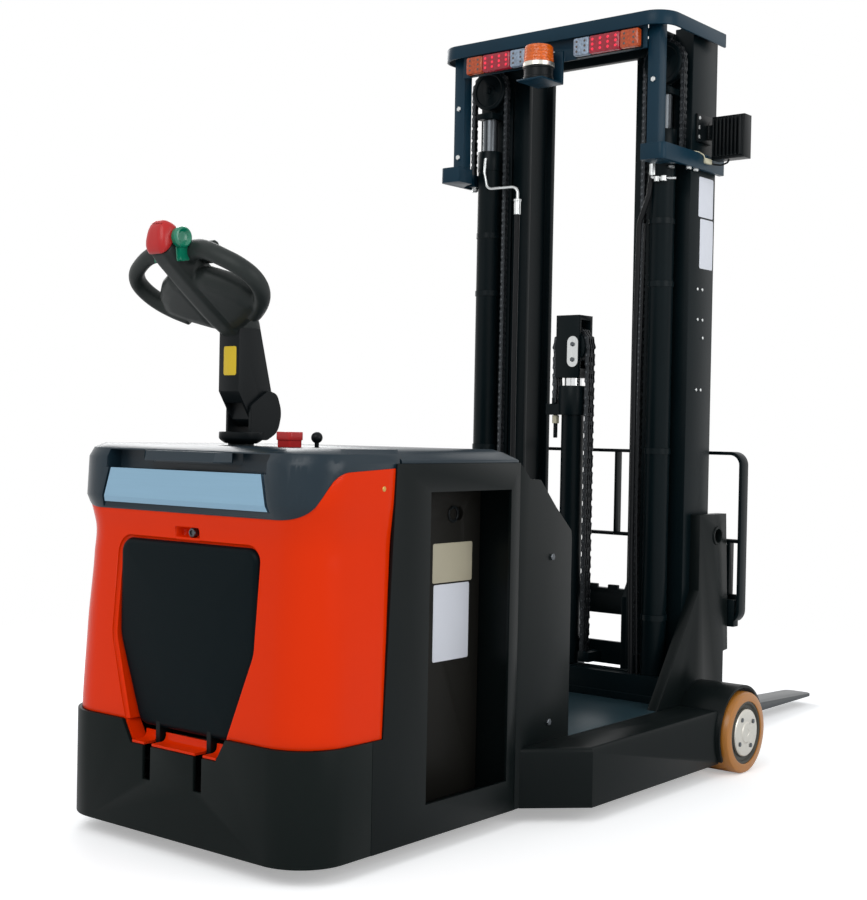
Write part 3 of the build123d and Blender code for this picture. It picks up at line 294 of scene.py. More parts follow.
# Finishes with drawn lines: colour, line scale, stretch, colour change, roughness, its change, metal
brushedFinishes = {
    "silverPanel": ((0.25, 0.41, 0.54), 240, (1.0, 0.02, 1.0), 0.10, 0.36, 0.08, 0.85),
    "zincPlate": ((0.62, 0.64, 0.64), 160, (1.0, 1.0, 0.1), 0.25, 0.32, 0.12, 1.0),
    "chromedRod": ((0.72, 0.73, 0.74), 200, (1.0, 1.0, 0.02), 0.08, 0.12, 0.05, 1.0),
    "capSteel": ((0.66, 0.64, 0.58), 120, (1.0, 1.0, 0.3), 0.12, 0.30, 0.10, 0.9),
    "chainSteel": ((0.030, 0.034, 0.038), 220, (1.0, 1.0, 1.0), 0.6, 0.34, 0.15, 0.6),
    "brassScrew": ((0.55, 0.34, 0.10), 160, (1.0, 1.0, 1.0), 0.2, 0.30, 0.1, 1.0),
    "boltDark": ((0.10, 0.11, 0.12), 260, (1.0, 1.0, 1.0), 0.4, 0.30, 0.1, 0.8),
    "forkSteel": ((0.060, 0.066, 0.070), 60, (0.05, 1.0, 1.0), 0.5, 0.36, 0.16, 0.5),
}
# Lamp lenses, moulded in prisms and lit from inside: colour, colour of the glow, its strength
lensFinishes = {
    "lensRed": ((0.26, 0.005, 0.020), (0.9, 0.02, 0.05), 0.06),
    "lensAmber": ((0.42, 0.055, 0.008), (0.9, 0.2, 0.02), 0.03),
    "lensClear": ((0.26, 0.33, 0.42), (0.8, 0.85, 0.9), 0.0),
    "beaconAmber": ((0.62, 0.10, 0.003), (1.0, 0.25, 0.01), 0.06),
    "diodeRed": ((0.7, 0.01, 0.04), (1.0, 0.02, 0.06), 0.55),
    "diodePale": ((0.10, 0.07, 0.06), (0.6, 0.7, 0.8), 0.0),
}
lensPrisms = {
    "scale": 170.0, "depth": 0.0015, "strength": 0.5, "speckle": 1.6, "speckleScale": 150.0, "rough": 0.14,
}
coatRoughness = 0.08
finishes = {}


def newFinish(name, group, groupValues, linked, values):
    # a material whose skin takes the linked sockets from a group and the values as they are
    material = bpy.data.materials.new(name)
    material.use_nodes = True
    finishes[name] = material
    tree = material.node_tree
    skin = tree.nodes["Principled BSDF"].inputs
    pattern = put(tree, "ShaderNodeGroup", None, groupValues, node_tree=group)
    for label, socket in linked.items():
        tree.links.new(pattern.outputs[label], skin[socket])
    for socket, value in values.items():
        skin[socket].default_value = value
    return tree, skin


def makeFinishes():
    linked = {"Color": "Base Color", "Roughness": "Roughness"}
    for name, (color, scale, depth, change, rough, roughChange, gloss, coat) in grainedFinishes.items():
        newFinish(name, grainGroup,
                  {"Color": (*color, 1), "Grain Scale": scale, "Grain Depth": depth, "Color Change": change,
                   "Roughness": rough, "Roughness Change": roughChange}, {**linked, "Normal": "Normal"},
                  {"Specular IOR Level": gloss, "Coat Weight": coat, "Coat Roughness": coatRoughness})
    for name, (color, scale, stretch, change, rough, roughChange, metal) in brushedFinishes.items():
        newFinish(name, brushGroup,
                  {"Color": (*color, 1), "Line Scale": scale, "Stretch": stretch, "Color Change": change,
                   "Roughness": rough, "Roughness Change": roughChange}, linked, {"Metallic": metal})
    p = lensPrisms
    for name, (color, glow, strength) in lensFinishes.items():
        tree, skin = newFinish(
            name, grainGroup,
            {"Color": (*color, 1), "Color Change": p["speckle"], "Cloud Scale": p["speckleScale"]},
            {"Color": "Base Color"},
            {"Roughness": p["rough"], "Emission Color": (*glow, 1), "Emission Strength": strength})
        place = put(tree, "ShaderNodeTexCoord").outputs["Object"]
        prisms = put(tree, "ShaderNodeTexVoronoi", {"Vector": place}, {"Scale": p["scale"]})
        bump = put(tree, "ShaderNodeBump", {"Height": prisms.outputs["Distance"]},
                   {"Distance": p["depth"], "Strength": p["strength"]})
        tree.links.new(bump.outputs["Normal"], skin["Normal"])


makeFinishes()
print("finishes made:", len(finishes))


# Mesh helpers
def shadeByAngle(mesh, degrees=32):
    mesh.polygons.foreach_set("use_smooth", [True] * len(mesh.polygons))
    work = bmesh.new()
    work.from_mesh(mesh)
    limit = math.radians(degrees)
    for edge in work.edges:
        edge.smooth = len(edge.link_faces) == 2 and edge.calc_face_angle(0) < limit
    work.to_mesh(mesh)
    work.free()


def meshOf(work, name, degrees=32):
    mesh = bpy.data.meshes.new(name)
    bmesh.ops.recalc_face_normals(work, faces=work.faces)
    work.to_mesh(mesh)
    work.free()
    shadeByAngle(mesh, degrees)
    return mesh


def openMesh(work, name, pickFace):
    # an open skin, turned so that the picked face looks to the rear
    bmesh.ops.recalc_face_normals(work, faces=work.faces)
    if pickFace(work.faces).normal.x > 0:
        bmesh.ops.reverse_faces(work, faces=work.faces)
    mesh = bpy.data.meshes.new(name)
    work.to_mesh(mesh)
    work.free()
    return mesh


def largestFace(faces):
    return max(faces, key=lambda f: f.calc_area())


def rearmostFace(faces):
    return min(faces, key=lambda f: f.calc_center_median().x)


def makePiece(name, shape, body, slotName, *materials, degrees=32):
    mesh = shape if isinstance(shape, bpy.types.Mesh) else meshOf(shape, name, degrees)
    for material in materials:
        mesh.materials.append(finishes[material])
    piece = newObject(name, mesh)
    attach(piece, body)
    return piece


def applied(piece, degrees=None):
    # the piece's own mesh with its modifiers worked in
    bpy.context.view_layer.update()
    ready = bpy.data.meshes.new_from_object(piece.evaluated_get(bpy.context.evaluated_depsgraph_get()))
    piece.modifiers.clear()
    piece.data = ready
    if degrees:
        shadeByAngle(ready, degrees)


def addWall(piece, thickness):
    wall = piece.modifiers.new("wall", "SOLIDIFY")
    wall.thickness = thickness / 1000
    wall.offset = -1


def addRings(work, rings, closed=True, capStart=True, capEnd=True, slotIndex=0):
    rows = [[work.verts.new(p) for p in ring] for ring in rings]
    count = len(rows[0])
    for a, b in zip(rows, rows[1:]):
        for i in range(count if closed else count - 1):
            j = (i + 1) % count
            work.faces.new((a[i], a[j], b[j], b[i])).material_index = slotIndex
    if capStart:
        work.faces.new(rows[0][::-1]).material_index = slotIndex
    if capEnd:
        work.faces.new(rows[-1]).material_index = slotIndex
    return rows


def turns(steps):
    return [2 * math.pi * k / steps for k in range(steps)]


def addTurned(work, centre, axis, profile, steps=48, hollow=False):
    # profile columns: distance along the axis, radius; a hollow one closes on itself
    axis = Vector(axis)
    side = axis.orthogonal().normalized()
    other = axis.cross(side)
    rings = [[centre + axis * along / 1000 + (side * math.cos(t) + other * math.sin(t)) * radius / 1000
              for t in turns(steps)] for along, radius in profile]
    rows = addRings(work, rings, capStart=not hollow, capEnd=not hollow)
    if hollow:
        for i in range(steps):
            j = (i + 1) % steps
            work.faces.new((rows[-1][i], rows[-1][j], rows[0][j], rows[0][i]))


def makeTurned(name, rows, body, slotName, finish, degrees=32):
    # one piece of turned parts, each a row of centre, axis, profile, steps, hollow or not
    work = bmesh.new()
    for row in rows:
        addTurned(work, *row)
    return makePiece(name, work, body, slotName, finish, degrees=degrees)


def addBlock(work, low, high, edge):
    x0, y0, z0 = at(*low)
    x1, y1, z1 = at(*high)
    corners = [work.verts.new((x, y, z)) for x in (x0, x1) for y in (y0, y1) for z in (z0, z1)]
    faces = [(0, 1, 3, 2), (4, 6, 7, 5), (0, 4, 5, 1), (2, 3, 7, 6), (0, 2, 6, 4), (1, 5, 7, 3)]
    made = [work.faces.new([corners[i] for i in f]) for f in faces]
    edges = list({e for f in made for e in f.edges})
    bmesh.ops.bevel(work, geom=edges, offset=edge / 1000, segments=2, profile=0.5, affect="EDGES",
                    clamp_overlap=True)


pipeSkill = {"steps": 14, "bendSteps": 6, "nearlyStraight": math.radians(88), "mostOfLeg": 0.49}


def addPipe(work, points, radius, bend):
    # a hard pipe through the corners, each rounded to the bend radius
    s = pipeSkill
    path = [points[0]]
    for before, corner, after in zip(points, points[1:], points[2:]):
        a = (before - corner).normalized()
        b = (after - corner).normalized()
        half = a.angle(b) / 2
        if half > s["nearlyStraight"]:
            path.append(corner)
            continue
        back = min(bend / 1000 / math.tan(half), (before - corner).length * s["mostOfLeg"],
                   (after - corner).length * s["mostOfLeg"])
        radiusHere = back * math.tan(half)
        middle = corner + (a + b).normalized() * (radiusHere / math.sin(half))
        start = corner + a * back - middle
        end = corner + b * back - middle
        for i in range(s["bendSteps"] + 1):
            path.append(middle + start.lerp(end, i / s["bendSteps"]).normalized() * radiusHere)
    path.append(points[-1])
    side = (path[1] - path[0]).orthogonal().normalized()
    rings = []
    for i, point in enumerate(path):
        ahead = path[min(i + 1, len(path) - 1)] - path[max(i - 1, 0)]
        ahead.normalize()
        side = (side - ahead * side.dot(ahead)).normalized()
        other = ahead.cross(side)
        rings.append([point + (side * math.cos(t) + other * math.sin(t)) * radius / 1000
                      for t in turns(s["steps"])])
    addRings(work, rings)


# Flat outlines with rounded corners, shared by the cover, the pad, the plates and the lamps
def roundedPath(corners, radii, steps=8, closed=False):
    count = len(corners)
    points = [Vector(c) for c in corners]
    path = []
    for i, corner in enumerate(points):
        if not closed and i in (0, count - 1):
            path.append(corner.copy())
            continue
        into = (corner - points[i - 1]).normalized()
        away = (points[(i + 1) % count] - corner).normalized()
        turn = into.angle_signed(away)
        side = -1 if turn > 0 else 1
        radius = radii[i] if isinstance(radii, (list, tuple)) else radii
        inward = Vector((-into.y, into.x)) * side
        back = radius * math.tan(abs(turn) / 2)
        middle = corner - into * back + inward * radius
        for k in range(steps + 1):
            angle = abs(turn) * k / steps
            spoke = -inward * math.cos(angle) + into * math.sin(angle)
            path.append(middle + spoke * radius)
    return path


def insetLoop(corners, inset):
    # corners run anticlockwise; every side moves inwards by the same amount
    count = len(corners)
    lines = []
    for i in range(count):
        a = Vector(corners[i])
        ahead = (Vector(corners[(i + 1) % count]) - a).normalized()
        lines.append((a + Vector((-ahead.y, ahead.x)) * inset, ahead))
    moved = []
    for i in range(count):
        p, d = lines[i - 1]
        q, e = lines[i]
        share = ((q - p).x * e.y - (q - p).y * e.x) / (d.x * e.y - d.y * e.x)
        moved.append(p + d * share)
    return moved


def addLayers(work, corners, radii, steps, layers, place=at, least=None, **ends):
    # one rounded outline, set in by each layer's inset and placed at its level
    rings = []
    for inset, level in layers:
        here = radii if least is None else [max(r - inset, least) for r in radii]
        loop = roundedPath(insetLoop(corners, inset), here, steps, True)
        rings.append([place(level, q.x, q.y) for q in loop])
    addRings(work, rings, **ends)


def boxLoop(a, b, c, d):
    # a rectangle from its low and high sides, anticlockwise
    return [(a, c), (b, c), (b, d), (a, d)]


def heightOn(path, x):
    for a, b in zip(path, path[1:]):
        if a.x <= x <= b.x and b.x > a.x:
            return a.y + (b.y - a.y) * (x - a.x) / (b.x - a.x)
    return path[0].y if x < path[0].x else path[-1].y


def smoothRow(table, height):
    # a soft curve through the rows of a table whose first column is the height
    last = len(table) - 1
    i = max(k for k in range(last) if table[k][0] <= max(height, table[0][0]))
    p0, p1, p2, p3 = (table[min(max(k, 0), last)] for k in (i - 1, i, i + 1, i + 2))
    t = min(max((height - p1[0]) / (p2[0] - p1[0]), 0), 1)
    values = []
    for a, b, c, d in zip(p0[1:], p1[1:], p2[1:], p3[1:]):
        slopeIn, slopeOut = (c - a) * 0.4, (d - b) * 0.4
        values.append((2 * t ** 3 - 3 * t ** 2 + 1) * b + (t ** 3 - 2 * t ** 2 + t) * slopeIn
                      + (3 * t ** 2 - 2 * t ** 3) * c + (t ** 3 - t ** 2) * slopeOut)
    return values


# Rounded copies of the hard pieces: real edges catch light
softEdges = {"join": 0.00002, "flat": math.radians(1.0), "sharp": math.radians(30), "shade": 35}


def softened(nodeName, width, material, slotName):
    s = softEdges
    source = cadNodes[nodeName]
    mesh = source.data.copy()
    work = bmesh.new()
    work.from_mesh(mesh)
    bmesh.ops.remove_doubles(work, verts=work.verts, dist=s["join"])
    bmesh.ops.dissolve_limit(work, angle_limit=s["flat"], verts=work.verts, edges=work.edges)
    work.to_mesh(mesh)
    work.free()
    mesh.materials.clear()
    piece = makePiece(nodeName + "Body", mesh, source["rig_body"], slotName, material)
    bevel = piece.modifiers.new("edges", "BEVEL")
    bevel.width = width / 1000
    bevel.segments = 2
    bevel.limit_method = "ANGLE"
    bevel.angle_limit = s["sharp"]
    bevel.use_clamp_overlap = True
    applied(piece, s["shade"])
    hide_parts(nodeName)


# Finish, slot, and each node with its edge radius; a star stands for left and right
roundedNodes = [
    ("skirtBlack", "black_plastic", {"skirt": 2.0}),
    ("blackPaint", "black_paint", {"chassis": 1.5, "battery_frame": 2.0, "front_box": 2.0, "leg_*": 2.0,
                                   "gusset_*": 2.5}),
    ("trayBlack", "black_plastic", {"battery_lid": 4.0, "top_cover": 4.0}),
    ("batteryCase", "battery_case", {"battery": 6.0}),
    ("deckBlue", "black_paint", {"deck": 1.5}),
    ("railBlack", "black_paint", {
        "outer_beam": 1.5, "middle_low_beam": 1.5, "inner_low_beam": 1.5, "inner_top_beam": 1.5,
        "middle_top_beam": 1.5, "carriage": 2.0, "backrest": 1.2, "drive_unit": 1.5, "free_lift_barrel": 1.5,
        "mast_outer_*": 2.0, "mast_middle_*": 2.0, "mast_inner_*": 2.0, "caster_fork_*": 1.0,
        "lift_cylinder_*": 1.5}),
    ("railBlack", "bright_rod", {"lift_rod_*": 1.0, "ram": 1.5}),
    ("blueBlackPaint", "black_paint", {"guard": 3.0, "guard_frame_*": 2.0}),
    ("forkSteel", "black_paint", {"fork_*": 2.0}),
    ("armBlack", "black_plastic", {"tiller_arm": 3.0, "lever": 0.8, "floodlight": 1.2}),
    ("buttonRed", "red_plastic", {"stop_button": 2.5}),
]
for material, slotName, radii in roundedNodes:
    for stem, width in radii.items():
        sides = ("left", "right") if "*" in stem else ("",)
        for side in sides:
            softened(stem.replace("*", side), width, material, slotName)
print("hard pieces rounded")


# Rear cover: a thin moulded skin with a deep pocket for the folded platform
rearCover = {
    "low": 286.0, "seamLow": 241.0, "seamHigh": 273.0, "seamTop": 881.0, "wall": 6.0,
    "sideFront": 350.0, "sideHalf": 406.0, "bodyHalf": 408.0,
    # height, rear face, side inset, corner radius
    "sections": [(286, 8, 8, 120), (480, 20, 16, 112), (660, 34, 28, 105), (712, 37, 31, 104),
                 (757, 28, 23, 107), (800, 14, 14, 110), (880, 20, 12, 110)],
    "brow": [(-80, 757), (34, 757), (96, 862), (400, 878)], "browRadii": (0, 50, 60, 0), "browLow": 757.0,
    # where the side ends and the corner ends, as shares of the way round; and the columns in each
    "sideShare": 0.12, "cornerShare": 0.3, "sideSteps": 6, "cornerSteps": 14, "rearSteps": 12, "rows": 44,
    # the top edge is guessed again so many times, each time keeping a share of the last guess
    "settle": 12, "keep": 0.4,
    "edge": 1.5, "edgeAngle": 50, "cutFrom": -80, "cutTo": 110,
    "pocket": [(-164.9, 280), (164.9, 280), (233, 470), (233, 703), (-233, 703), (-233, 470)],
    "pocketDeep": [(-150.6, 240), (150.6, 240), (233, 470), (233, 703), (-233, 703), (-233, 470)],
    "pocketRadii": (1, 1, 90, 40, 40, 90), "pocketFloor": 80.0, "pocketWall": 4.0,
    "lip": 8.0, "floorRadius": 14.0,
    "latchHalf": 40.0, "latchLow": 690.0, "latchHigh": 731.0, "latchDepth": 62.0,
    "latchWall": 3.0, "latchStep": 13,
    "lock": [(0, 11), (12, 11), (14, 9.5), (14.2, 6), (11, 5.5), (11, 0.5)],
    "tongueLow": 237.0, "armSide": 84.0, "armRoom": 13.0, "tongueEnd": 138.0,
    "tongue": [(4.5, 0), (36, 0), (43, 2.5), (48, 8), (50, 16), (50, 25), (46, 25), (46, 17), (44, 11),
               (40, 7.5), (34, 5.5), (4.5, 5.5)],
    "tongueCheek": [(137, 237), (143, 237), (176, 291), (169, 291)], "cheekSpan": (11, 49),
}


def coverPoint(cover, share, height):
    # the skin's place at a share of the way round, from the right side to the left
    rear, inset, radius = smoothRow(cover["sections"], height)
    half = cover["bodyHalf"] - inset
    front = cover["sideFront"]
    seam = cover["seamLow"] + (cover["seamHigh"] - cover["seamLow"]) * (height - cover["low"]) / (
        cover["seamTop"] - cover["low"])
    count = cover["cornerSteps"]
    flank = cover["sideHalf"]
    line = roundedPath([(front, -flank), (rear, -half), (rear, half), (front, flank)], radius, steps=count)
    first = line[0] + (line[1] - line[0]) * ((line[0].x - seam) / (line[0].x - line[1].x))
    line = [first] + line[1:-1] + [Vector((first.x, -first.y))]
    side, corner = cover["sideShare"], cover["cornerShare"]
    if share < side:
        return line[0].lerp(line[1], share / side)
    if share > 1 - side:
        return line[-2].lerp(line[-1], (share - 1 + side) / side)
    if share < corner:
        k = (share - side) / (corner - side) * count
        return line[1 + int(k)].lerp(line[min(2 + int(k), count + 1)], k - int(k))
    if share > 1 - corner:
        k = (share - 1 + corner) / (corner - side) * count
        return line[count + 2 + int(k)].lerp(line[min(count + 3 + int(k), 2 * count + 2)], k - int(k))
    return line[count + 1].lerp(line[count + 2], (share - corner) / (1 - 2 * corner))


def makeRearCover():
    c = rearCover
    brow = roundedPath(c["brow"], c["browRadii"], steps=10)
    side, corner = c["sideShare"], c["cornerShare"]
    sideSteps, cornerSteps, rearSteps = c["sideSteps"], c["cornerSteps"], c["rearSteps"]
    shares = [side * k / sideSteps for k in range(sideSteps)]
    shares += [side + (corner - side) * k / cornerSteps for k in range(cornerSteps)]
    shares += [corner + (1 - 2 * corner) * k / rearSteps for k in range(rearSteps + 1)]
    shares += [1 - corner + (corner - side) * k / cornerSteps for k in range(1, cornerSteps + 1)]
    shares += [1 - side + side * k / sideSteps for k in range(1, sideSteps + 1)]
    columns = []
    for share in shares:
        top = c["browLow"]
        for turn in range(c["settle"]):
            top = top * c["keep"] + heightOn(brow, coverPoint(c, share, top).x) * (1 - c["keep"])
        column = []
        for k in range(c["rows"] + 1):
            height = c["low"] + (top - c["low"]) * k / c["rows"]
            spot = coverPoint(c, share, height)
            column.append(at(spot.x, spot.y, height))
        columns.append(column)
    work = bmesh.new()
    addRings(work, columns, closed=False, capStart=False, capEnd=False)
    cover = makePiece("rearCover", openMesh(work, "rearCover", rearmostFace), "root", "orange_cover",
                      "orangeCover")
    addWall(cover, c["wall"])
    edge = cover.modifiers.new("edge", "BEVEL")
    edge.width = c["edge"] / 1000
    edge.segments = 2
    edge.angle_limit = math.radians(c["edgeAngle"])
    latch = boxLoop(-c["latchHalf"], c["latchHalf"], c["latchLow"], c["latchHigh"])
    cutters = []
    for name, corners, radii in (("pocketCutter", c["pocket"], c["pocketRadii"]), ("latchCutter", latch, 5)):
        work = bmesh.new()
        addLayers(work, corners, radii, 10, ((0, c["cutFrom"]), (0, c["cutTo"])))
        cutters.append(newObject(name, meshOf(work, name)))
        cut = cover.modifiers.new(name, "BOOLEAN")
        cut.operation = "DIFFERENCE"
        cut.solver = "EXACT"
        cut.object = cutters[-1]
    applied(cover, 35)
    for cutter in cutters:
        bpy.data.objects.remove(cutter)
    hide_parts("hood")


def makePocketTray():
    # rolled lip, steep wall, round floor edge; open at the bottom
    c = rearCover
    work = bmesh.new()
    rings = []
    lip, floorRadius, low = c["lip"], c["floorRadius"], c["low"]
    quarter = [math.radians(a) for a in range(0, 91, 15)]
    steps = [(lip * (1 - math.cos(t)), lip * math.sin(t), True) for t in quarter]
    steps += [(lip + floorRadius * (1 - math.cos(t)), floorRadius * (math.sin(t) - 1), False)
              for t in quarter]
    for inset, depth, fromLip in steps:
        a, b, right, topRight, topLeft, left = insetLoop(c["pocketDeep"], inset)
        start = a.lerp(left, (low - a.y) / (left.y - a.y))
        end = b.lerp(right, (low - b.y) / (right.y - b.y))
        radii = [0] + [max(r - inset, 2.0) for r in c["pocketRadii"][2:]] + [0]
        ring = []
        for p in roundedPath([start, left, topLeft, topRight, right, end], radii):
            skin = smoothRow(c["sections"], max(p.y, low))[0]
            ring.append(at((skin if fromLip else c["pocketFloor"]) + depth, p.x, p.y))
        rings.append(ring)
    addRings(work, rings, closed=False, capStart=False)
    tray = makePiece("pocketTray", openMesh(work, "pocketTray", largestFace), "root", "orange_cover",
                     "orangeCover")
    addWall(tray, c["pocketWall"])
    applied(tray, 40)


def makeTongue():
    # scooped lip under the pocket, cut out where the platform arms swing
    c = rearCover
    work = bmesh.new()
    inner, outer = c["armSide"] - c["armRoom"], c["armSide"] + c["armRoom"]
    for y0, y1 in ((-c["tongueEnd"], -outer), (-inner, inner), (outer, c["tongueEnd"])):
        addRings(work, [[at(x, y, c["tongueLow"] + z) for x, z in c["tongue"]] for y in (y0, y1)])
    for side in (-1, 1):
        addRings(work, [[at(x, side * y, z) for y, z in c["tongueCheek"]] for x in c["cheekSpan"]])
    makePiece("coverTongue", work, "root", "orange_cover", "orangeCover")


def makeLatch():
    # recessed square with a round lock at the top of the pocket
    c = rearCover
    half, low, depth = c["latchHalf"], c["latchLow"] + c["latchStep"], c["latchDepth"]
    work = bmesh.new()
    addLayers(work, boxLoop(-half, half, low, c["latchHigh"]), 5, 4,
              ((0, 37), (2, 40), (3, depth - 6), (5, depth - 2), (9, depth)), capStart=False)
    recess = makePiece("latchRecess", openMesh(work, "latchRecess", largestFace), "root", "orange_cover",
                       "orangeCover")
    addWall(recess, c["latchWall"])
    applied(recess, 40)
    makeTurned("latchLock", [(at(depth + 1, 0, low + 14), (-1, 0, 0), c["lock"], 32)],
               "root", "black_plastic", "boltDark")


# Folded platform: a crowned pad on two flat arms
platformPad = {
    "corners": [(-150, 272), (150, 272), (226, 470), (226, 696), (-226, 696), (-226, 470)],
    "radii": (34, 34, 110, 34, 34, 110), "face": 30.0, "back": 68.0, "rim": 15.0,
    "rimTurns": (12, 25, 38, 52, 66, 80, 90), "crown": 2.5, "crownSteps": 5, "crownStep": 22.0,
    "armSide": 84.0, "armFace": 32.5, "armBack": 67.5, "armNeck": 262, "armHigh": 332,
    "armLayers": [(1.2, -7), (0, -5.8), (0, 5.8), (1.2, 7)], "hingeX": 48.0, "hingeZ": 212.0, "eye": 16.0,
}


def makePlatform():
    p = platformPad
    rim, face, back = p["rim"], p["face"] + p["crown"], p["back"]
    layers = [(3, back), (0.8, back - 0.8), (0, back - 3), (0, face + rim)]
    layers += [(rim * (1 - math.cos(t)), face + rim * (1 - math.sin(t)))
               for t in (math.radians(a) for a in p["rimTurns"])]
    layers += [(rim + k * p["crownStep"], p["face"] + p["crown"] * (1 - (k / p["crownSteps"]) ** 0.8))
               for k in range(1, p["crownSteps"] + 1)]
    work = bmesh.new()
    addLayers(work, p["corners"], p["radii"], 8, layers, least=4.0)
    pad = makePiece("platformPad", work, "platform", "black_plastic", "padBlack", degrees=50)
    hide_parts("platform")
    work = bmesh.new()
    for side in (-1, 1):
        rings = []
        for inset, y in p["armLayers"]:
            eye, rear, front = p["eye"] - inset, p["armFace"] + inset, p["armBack"] - inset
            ring = [(p["hingeX"] + eye * math.cos(t), p["hingeZ"] + eye * math.sin(t))
                    for t in (math.radians(200 + 14 * k) for k in range(11))]
            ring += [(front, p["armNeck"]), (front, p["armHigh"] - inset), (rear, p["armHigh"] - inset),
                     (rear, p["armNeck"])]
            rings.append([at(x, side * p["armSide"] + y, z) for x, z in ring])
        addRings(work, rings)
    makePiece("platformArms", work, "platform", "black_paint", "blackPaint")


makeRearCover()
makePocketTray()
makeTongue()
makeLatch()
makePlatform()
print("rear cover and platform made")


# Tiller head: one moulded skin over spine, shells and bow handles
tillerHead = {
    "rise": 36.8, "rootX": 191.0, "rootZ": 1180.0, "voxel": 0.0026, "smooth": 9, "smoothShare": 0.5,
    # along the head, half width, low, high
    "spine": [(-24, 27, -30, 16), (10, 30, -37, 30), (60, 31, -41, 36), (120, 30, -42, 38),
              (200, 29, -42, 36), (262, 29, -40, 34), (290, 29, -36, 32)],
    # shell seen from above: along, aside; then its layers: inset, up
    "shell": [(12, 4), (30, 52), (56, 108), (84, 148), (110, 156), (150, 136), (182, 100), (204, 58),
              (204, 4)],
    "shellRadii": (4, 30, 40, 26, 30, 50, 50, 26, 4), "shellLeast": 2.0,
    "layers": [(34, -37), (18, -34), (8, -28), (2, -19), (0, -9), (2, 2), (8, 12), (18, 19), (34, 24)],
    # along, aside, up, radius; and how much taller and narrower than round the bow is
    "bow": [(238, 18, 16, 26), (245, 58, 15, 22), (245, 92, 8, 19.5), (234, 126, 0, 19), (212, 163, -7, 19),
            (182, 183, -10, 19), (148, 183, -11, 19), (116, 167, -12, 19.5), (88, 138, -13, 20),
            (64, 102, -14, 20)],
    "bowTall": 1.12, "bowWide": 0.92, "bowFine": 4, "bowSteps": 20,
    # x, z, radius along x, radius aside
    "neck": [(196, 1179, 46, 33), (190, 1196, 47, 34), (178, 1222, 46, 34)], "neckSteps": 24,
}
headRise = math.radians(tillerHead["rise"])
headAlong = Vector((-math.cos(headRise), 0, math.sin(headRise)))
headUp = Vector((math.sin(headRise), 0, math.cos(headRise)))
headRoot = at(tillerHead["rootX"], 0, tillerHead["rootZ"])


def inHead(x, y, z):
    return headRoot + headAlong * (x / 1000) + Vector((0, y / 1000, 0)) + headUp * (z / 1000)


def addBar(work, rows, radius, steps):
    # a bar along the head; no corner is rounder than six tenths of the half width
    rings = []
    for along, half, low, high in rows:
        loop = roundedPath(boxLoop(-half, half, low, high), min(radius, half * 0.6), steps, True)
        rings.append([inHead(along, q.x, q.y) for q in loop])
    addRings(work, rings)


def addBow(work, side):
    h = tillerHead
    path = [Vector((x, side * y, z)) for x, y, z, r in h["bow"]]
    sizes = [r for x, y, z, r in h["bow"]]
    last = len(path) - 1
    fine = []
    for i in range(last):
        p0, p1, p2, p3 = (path[min(max(k, 0), last)] for k in (i - 1, i, i + 1, i + 2))
        for k in range(h["bowFine"]):
            t = k / h["bowFine"]
            spot = 0.5 * (2 * p1 + (p2 - p0) * t + (2 * p0 - 5 * p1 + 4 * p2 - p3) * t * t
                          + (3 * p1 - p0 - 3 * p2 + p3) * t ** 3)
            fine.append((spot, sizes[i] + (sizes[i + 1] - sizes[i]) * t))
    fine.append((path[-1], sizes[-1]))
    rings = []
    for k, (spot, size) in enumerate(fine):
        ahead = (fine[min(k + 1, len(fine) - 1)][0] - fine[max(k - 1, 0)][0]).normalized()
        a = Vector((0, 0, 1))
        a = (a - ahead * a.dot(ahead)).normalized()
        b = ahead.cross(a)
        tall, wide = size * h["bowTall"], size * h["bowWide"]
        rings.append([inHead(*(spot + a * (tall * math.cos(u)) + b * (wide * math.sin(u))))
                      for u in turns(h["bowSteps"])])
    addRings(work, rings)


def makeTillerHead():
    h = tillerHead
    work = bmesh.new()
    addBar(work, h["spine"], 13, 5)
    for side in (-1, 1):
        rings = []
        for inset, up in h["layers"]:
            radii = [max(r - inset, h["shellLeast"]) for r in h["shellRadii"]]
            # the shell's corners run clockwise, so that it is set in by a negative amount
            loop = roundedPath(insetLoop(h["shell"], -inset), radii, 6, True)
            rings.append([inHead(q.x, side * q.y, up) for q in loop])
        addRings(work, rings)
        addBow(work, side)
    addRings(work, [[at(x, 0, z) + Vector((a / 1000 * math.cos(t), b / 1000 * math.sin(t), 0))
                     for t in turns(h["neckSteps"])] for x, z, a, b in h["neck"]])
    head = makePiece("tillerHeadSkin", work, "tiller", "grey_handle", "handleGrey")
    remesh = head.modifiers.new("skin", "REMESH")
    remesh.mode = "VOXEL"
    remesh.voxel_size = h["voxel"]
    soft = head.modifiers.new("soft", "SMOOTH")
    soft.factor = h["smoothShare"]
    soft.iterations = h["smooth"]
    applied(head)
    head.data.polygons.foreach_set("use_smooth", [True] * len(head.data.polygons))
    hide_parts("tiller_head")


makeTillerHead()
print("tiller head made")


# Copies on marked points: screw heads turned to their facing, and the links of the chains
def painted(tree, copies, finish):
    real = put(tree, "GeometryNodeRealizeInstances", {"Geometry": copies})
    return put(tree, "GeometryNodeSetMaterial", {"Geometry": real.outputs["Geometry"], "Material": finish})


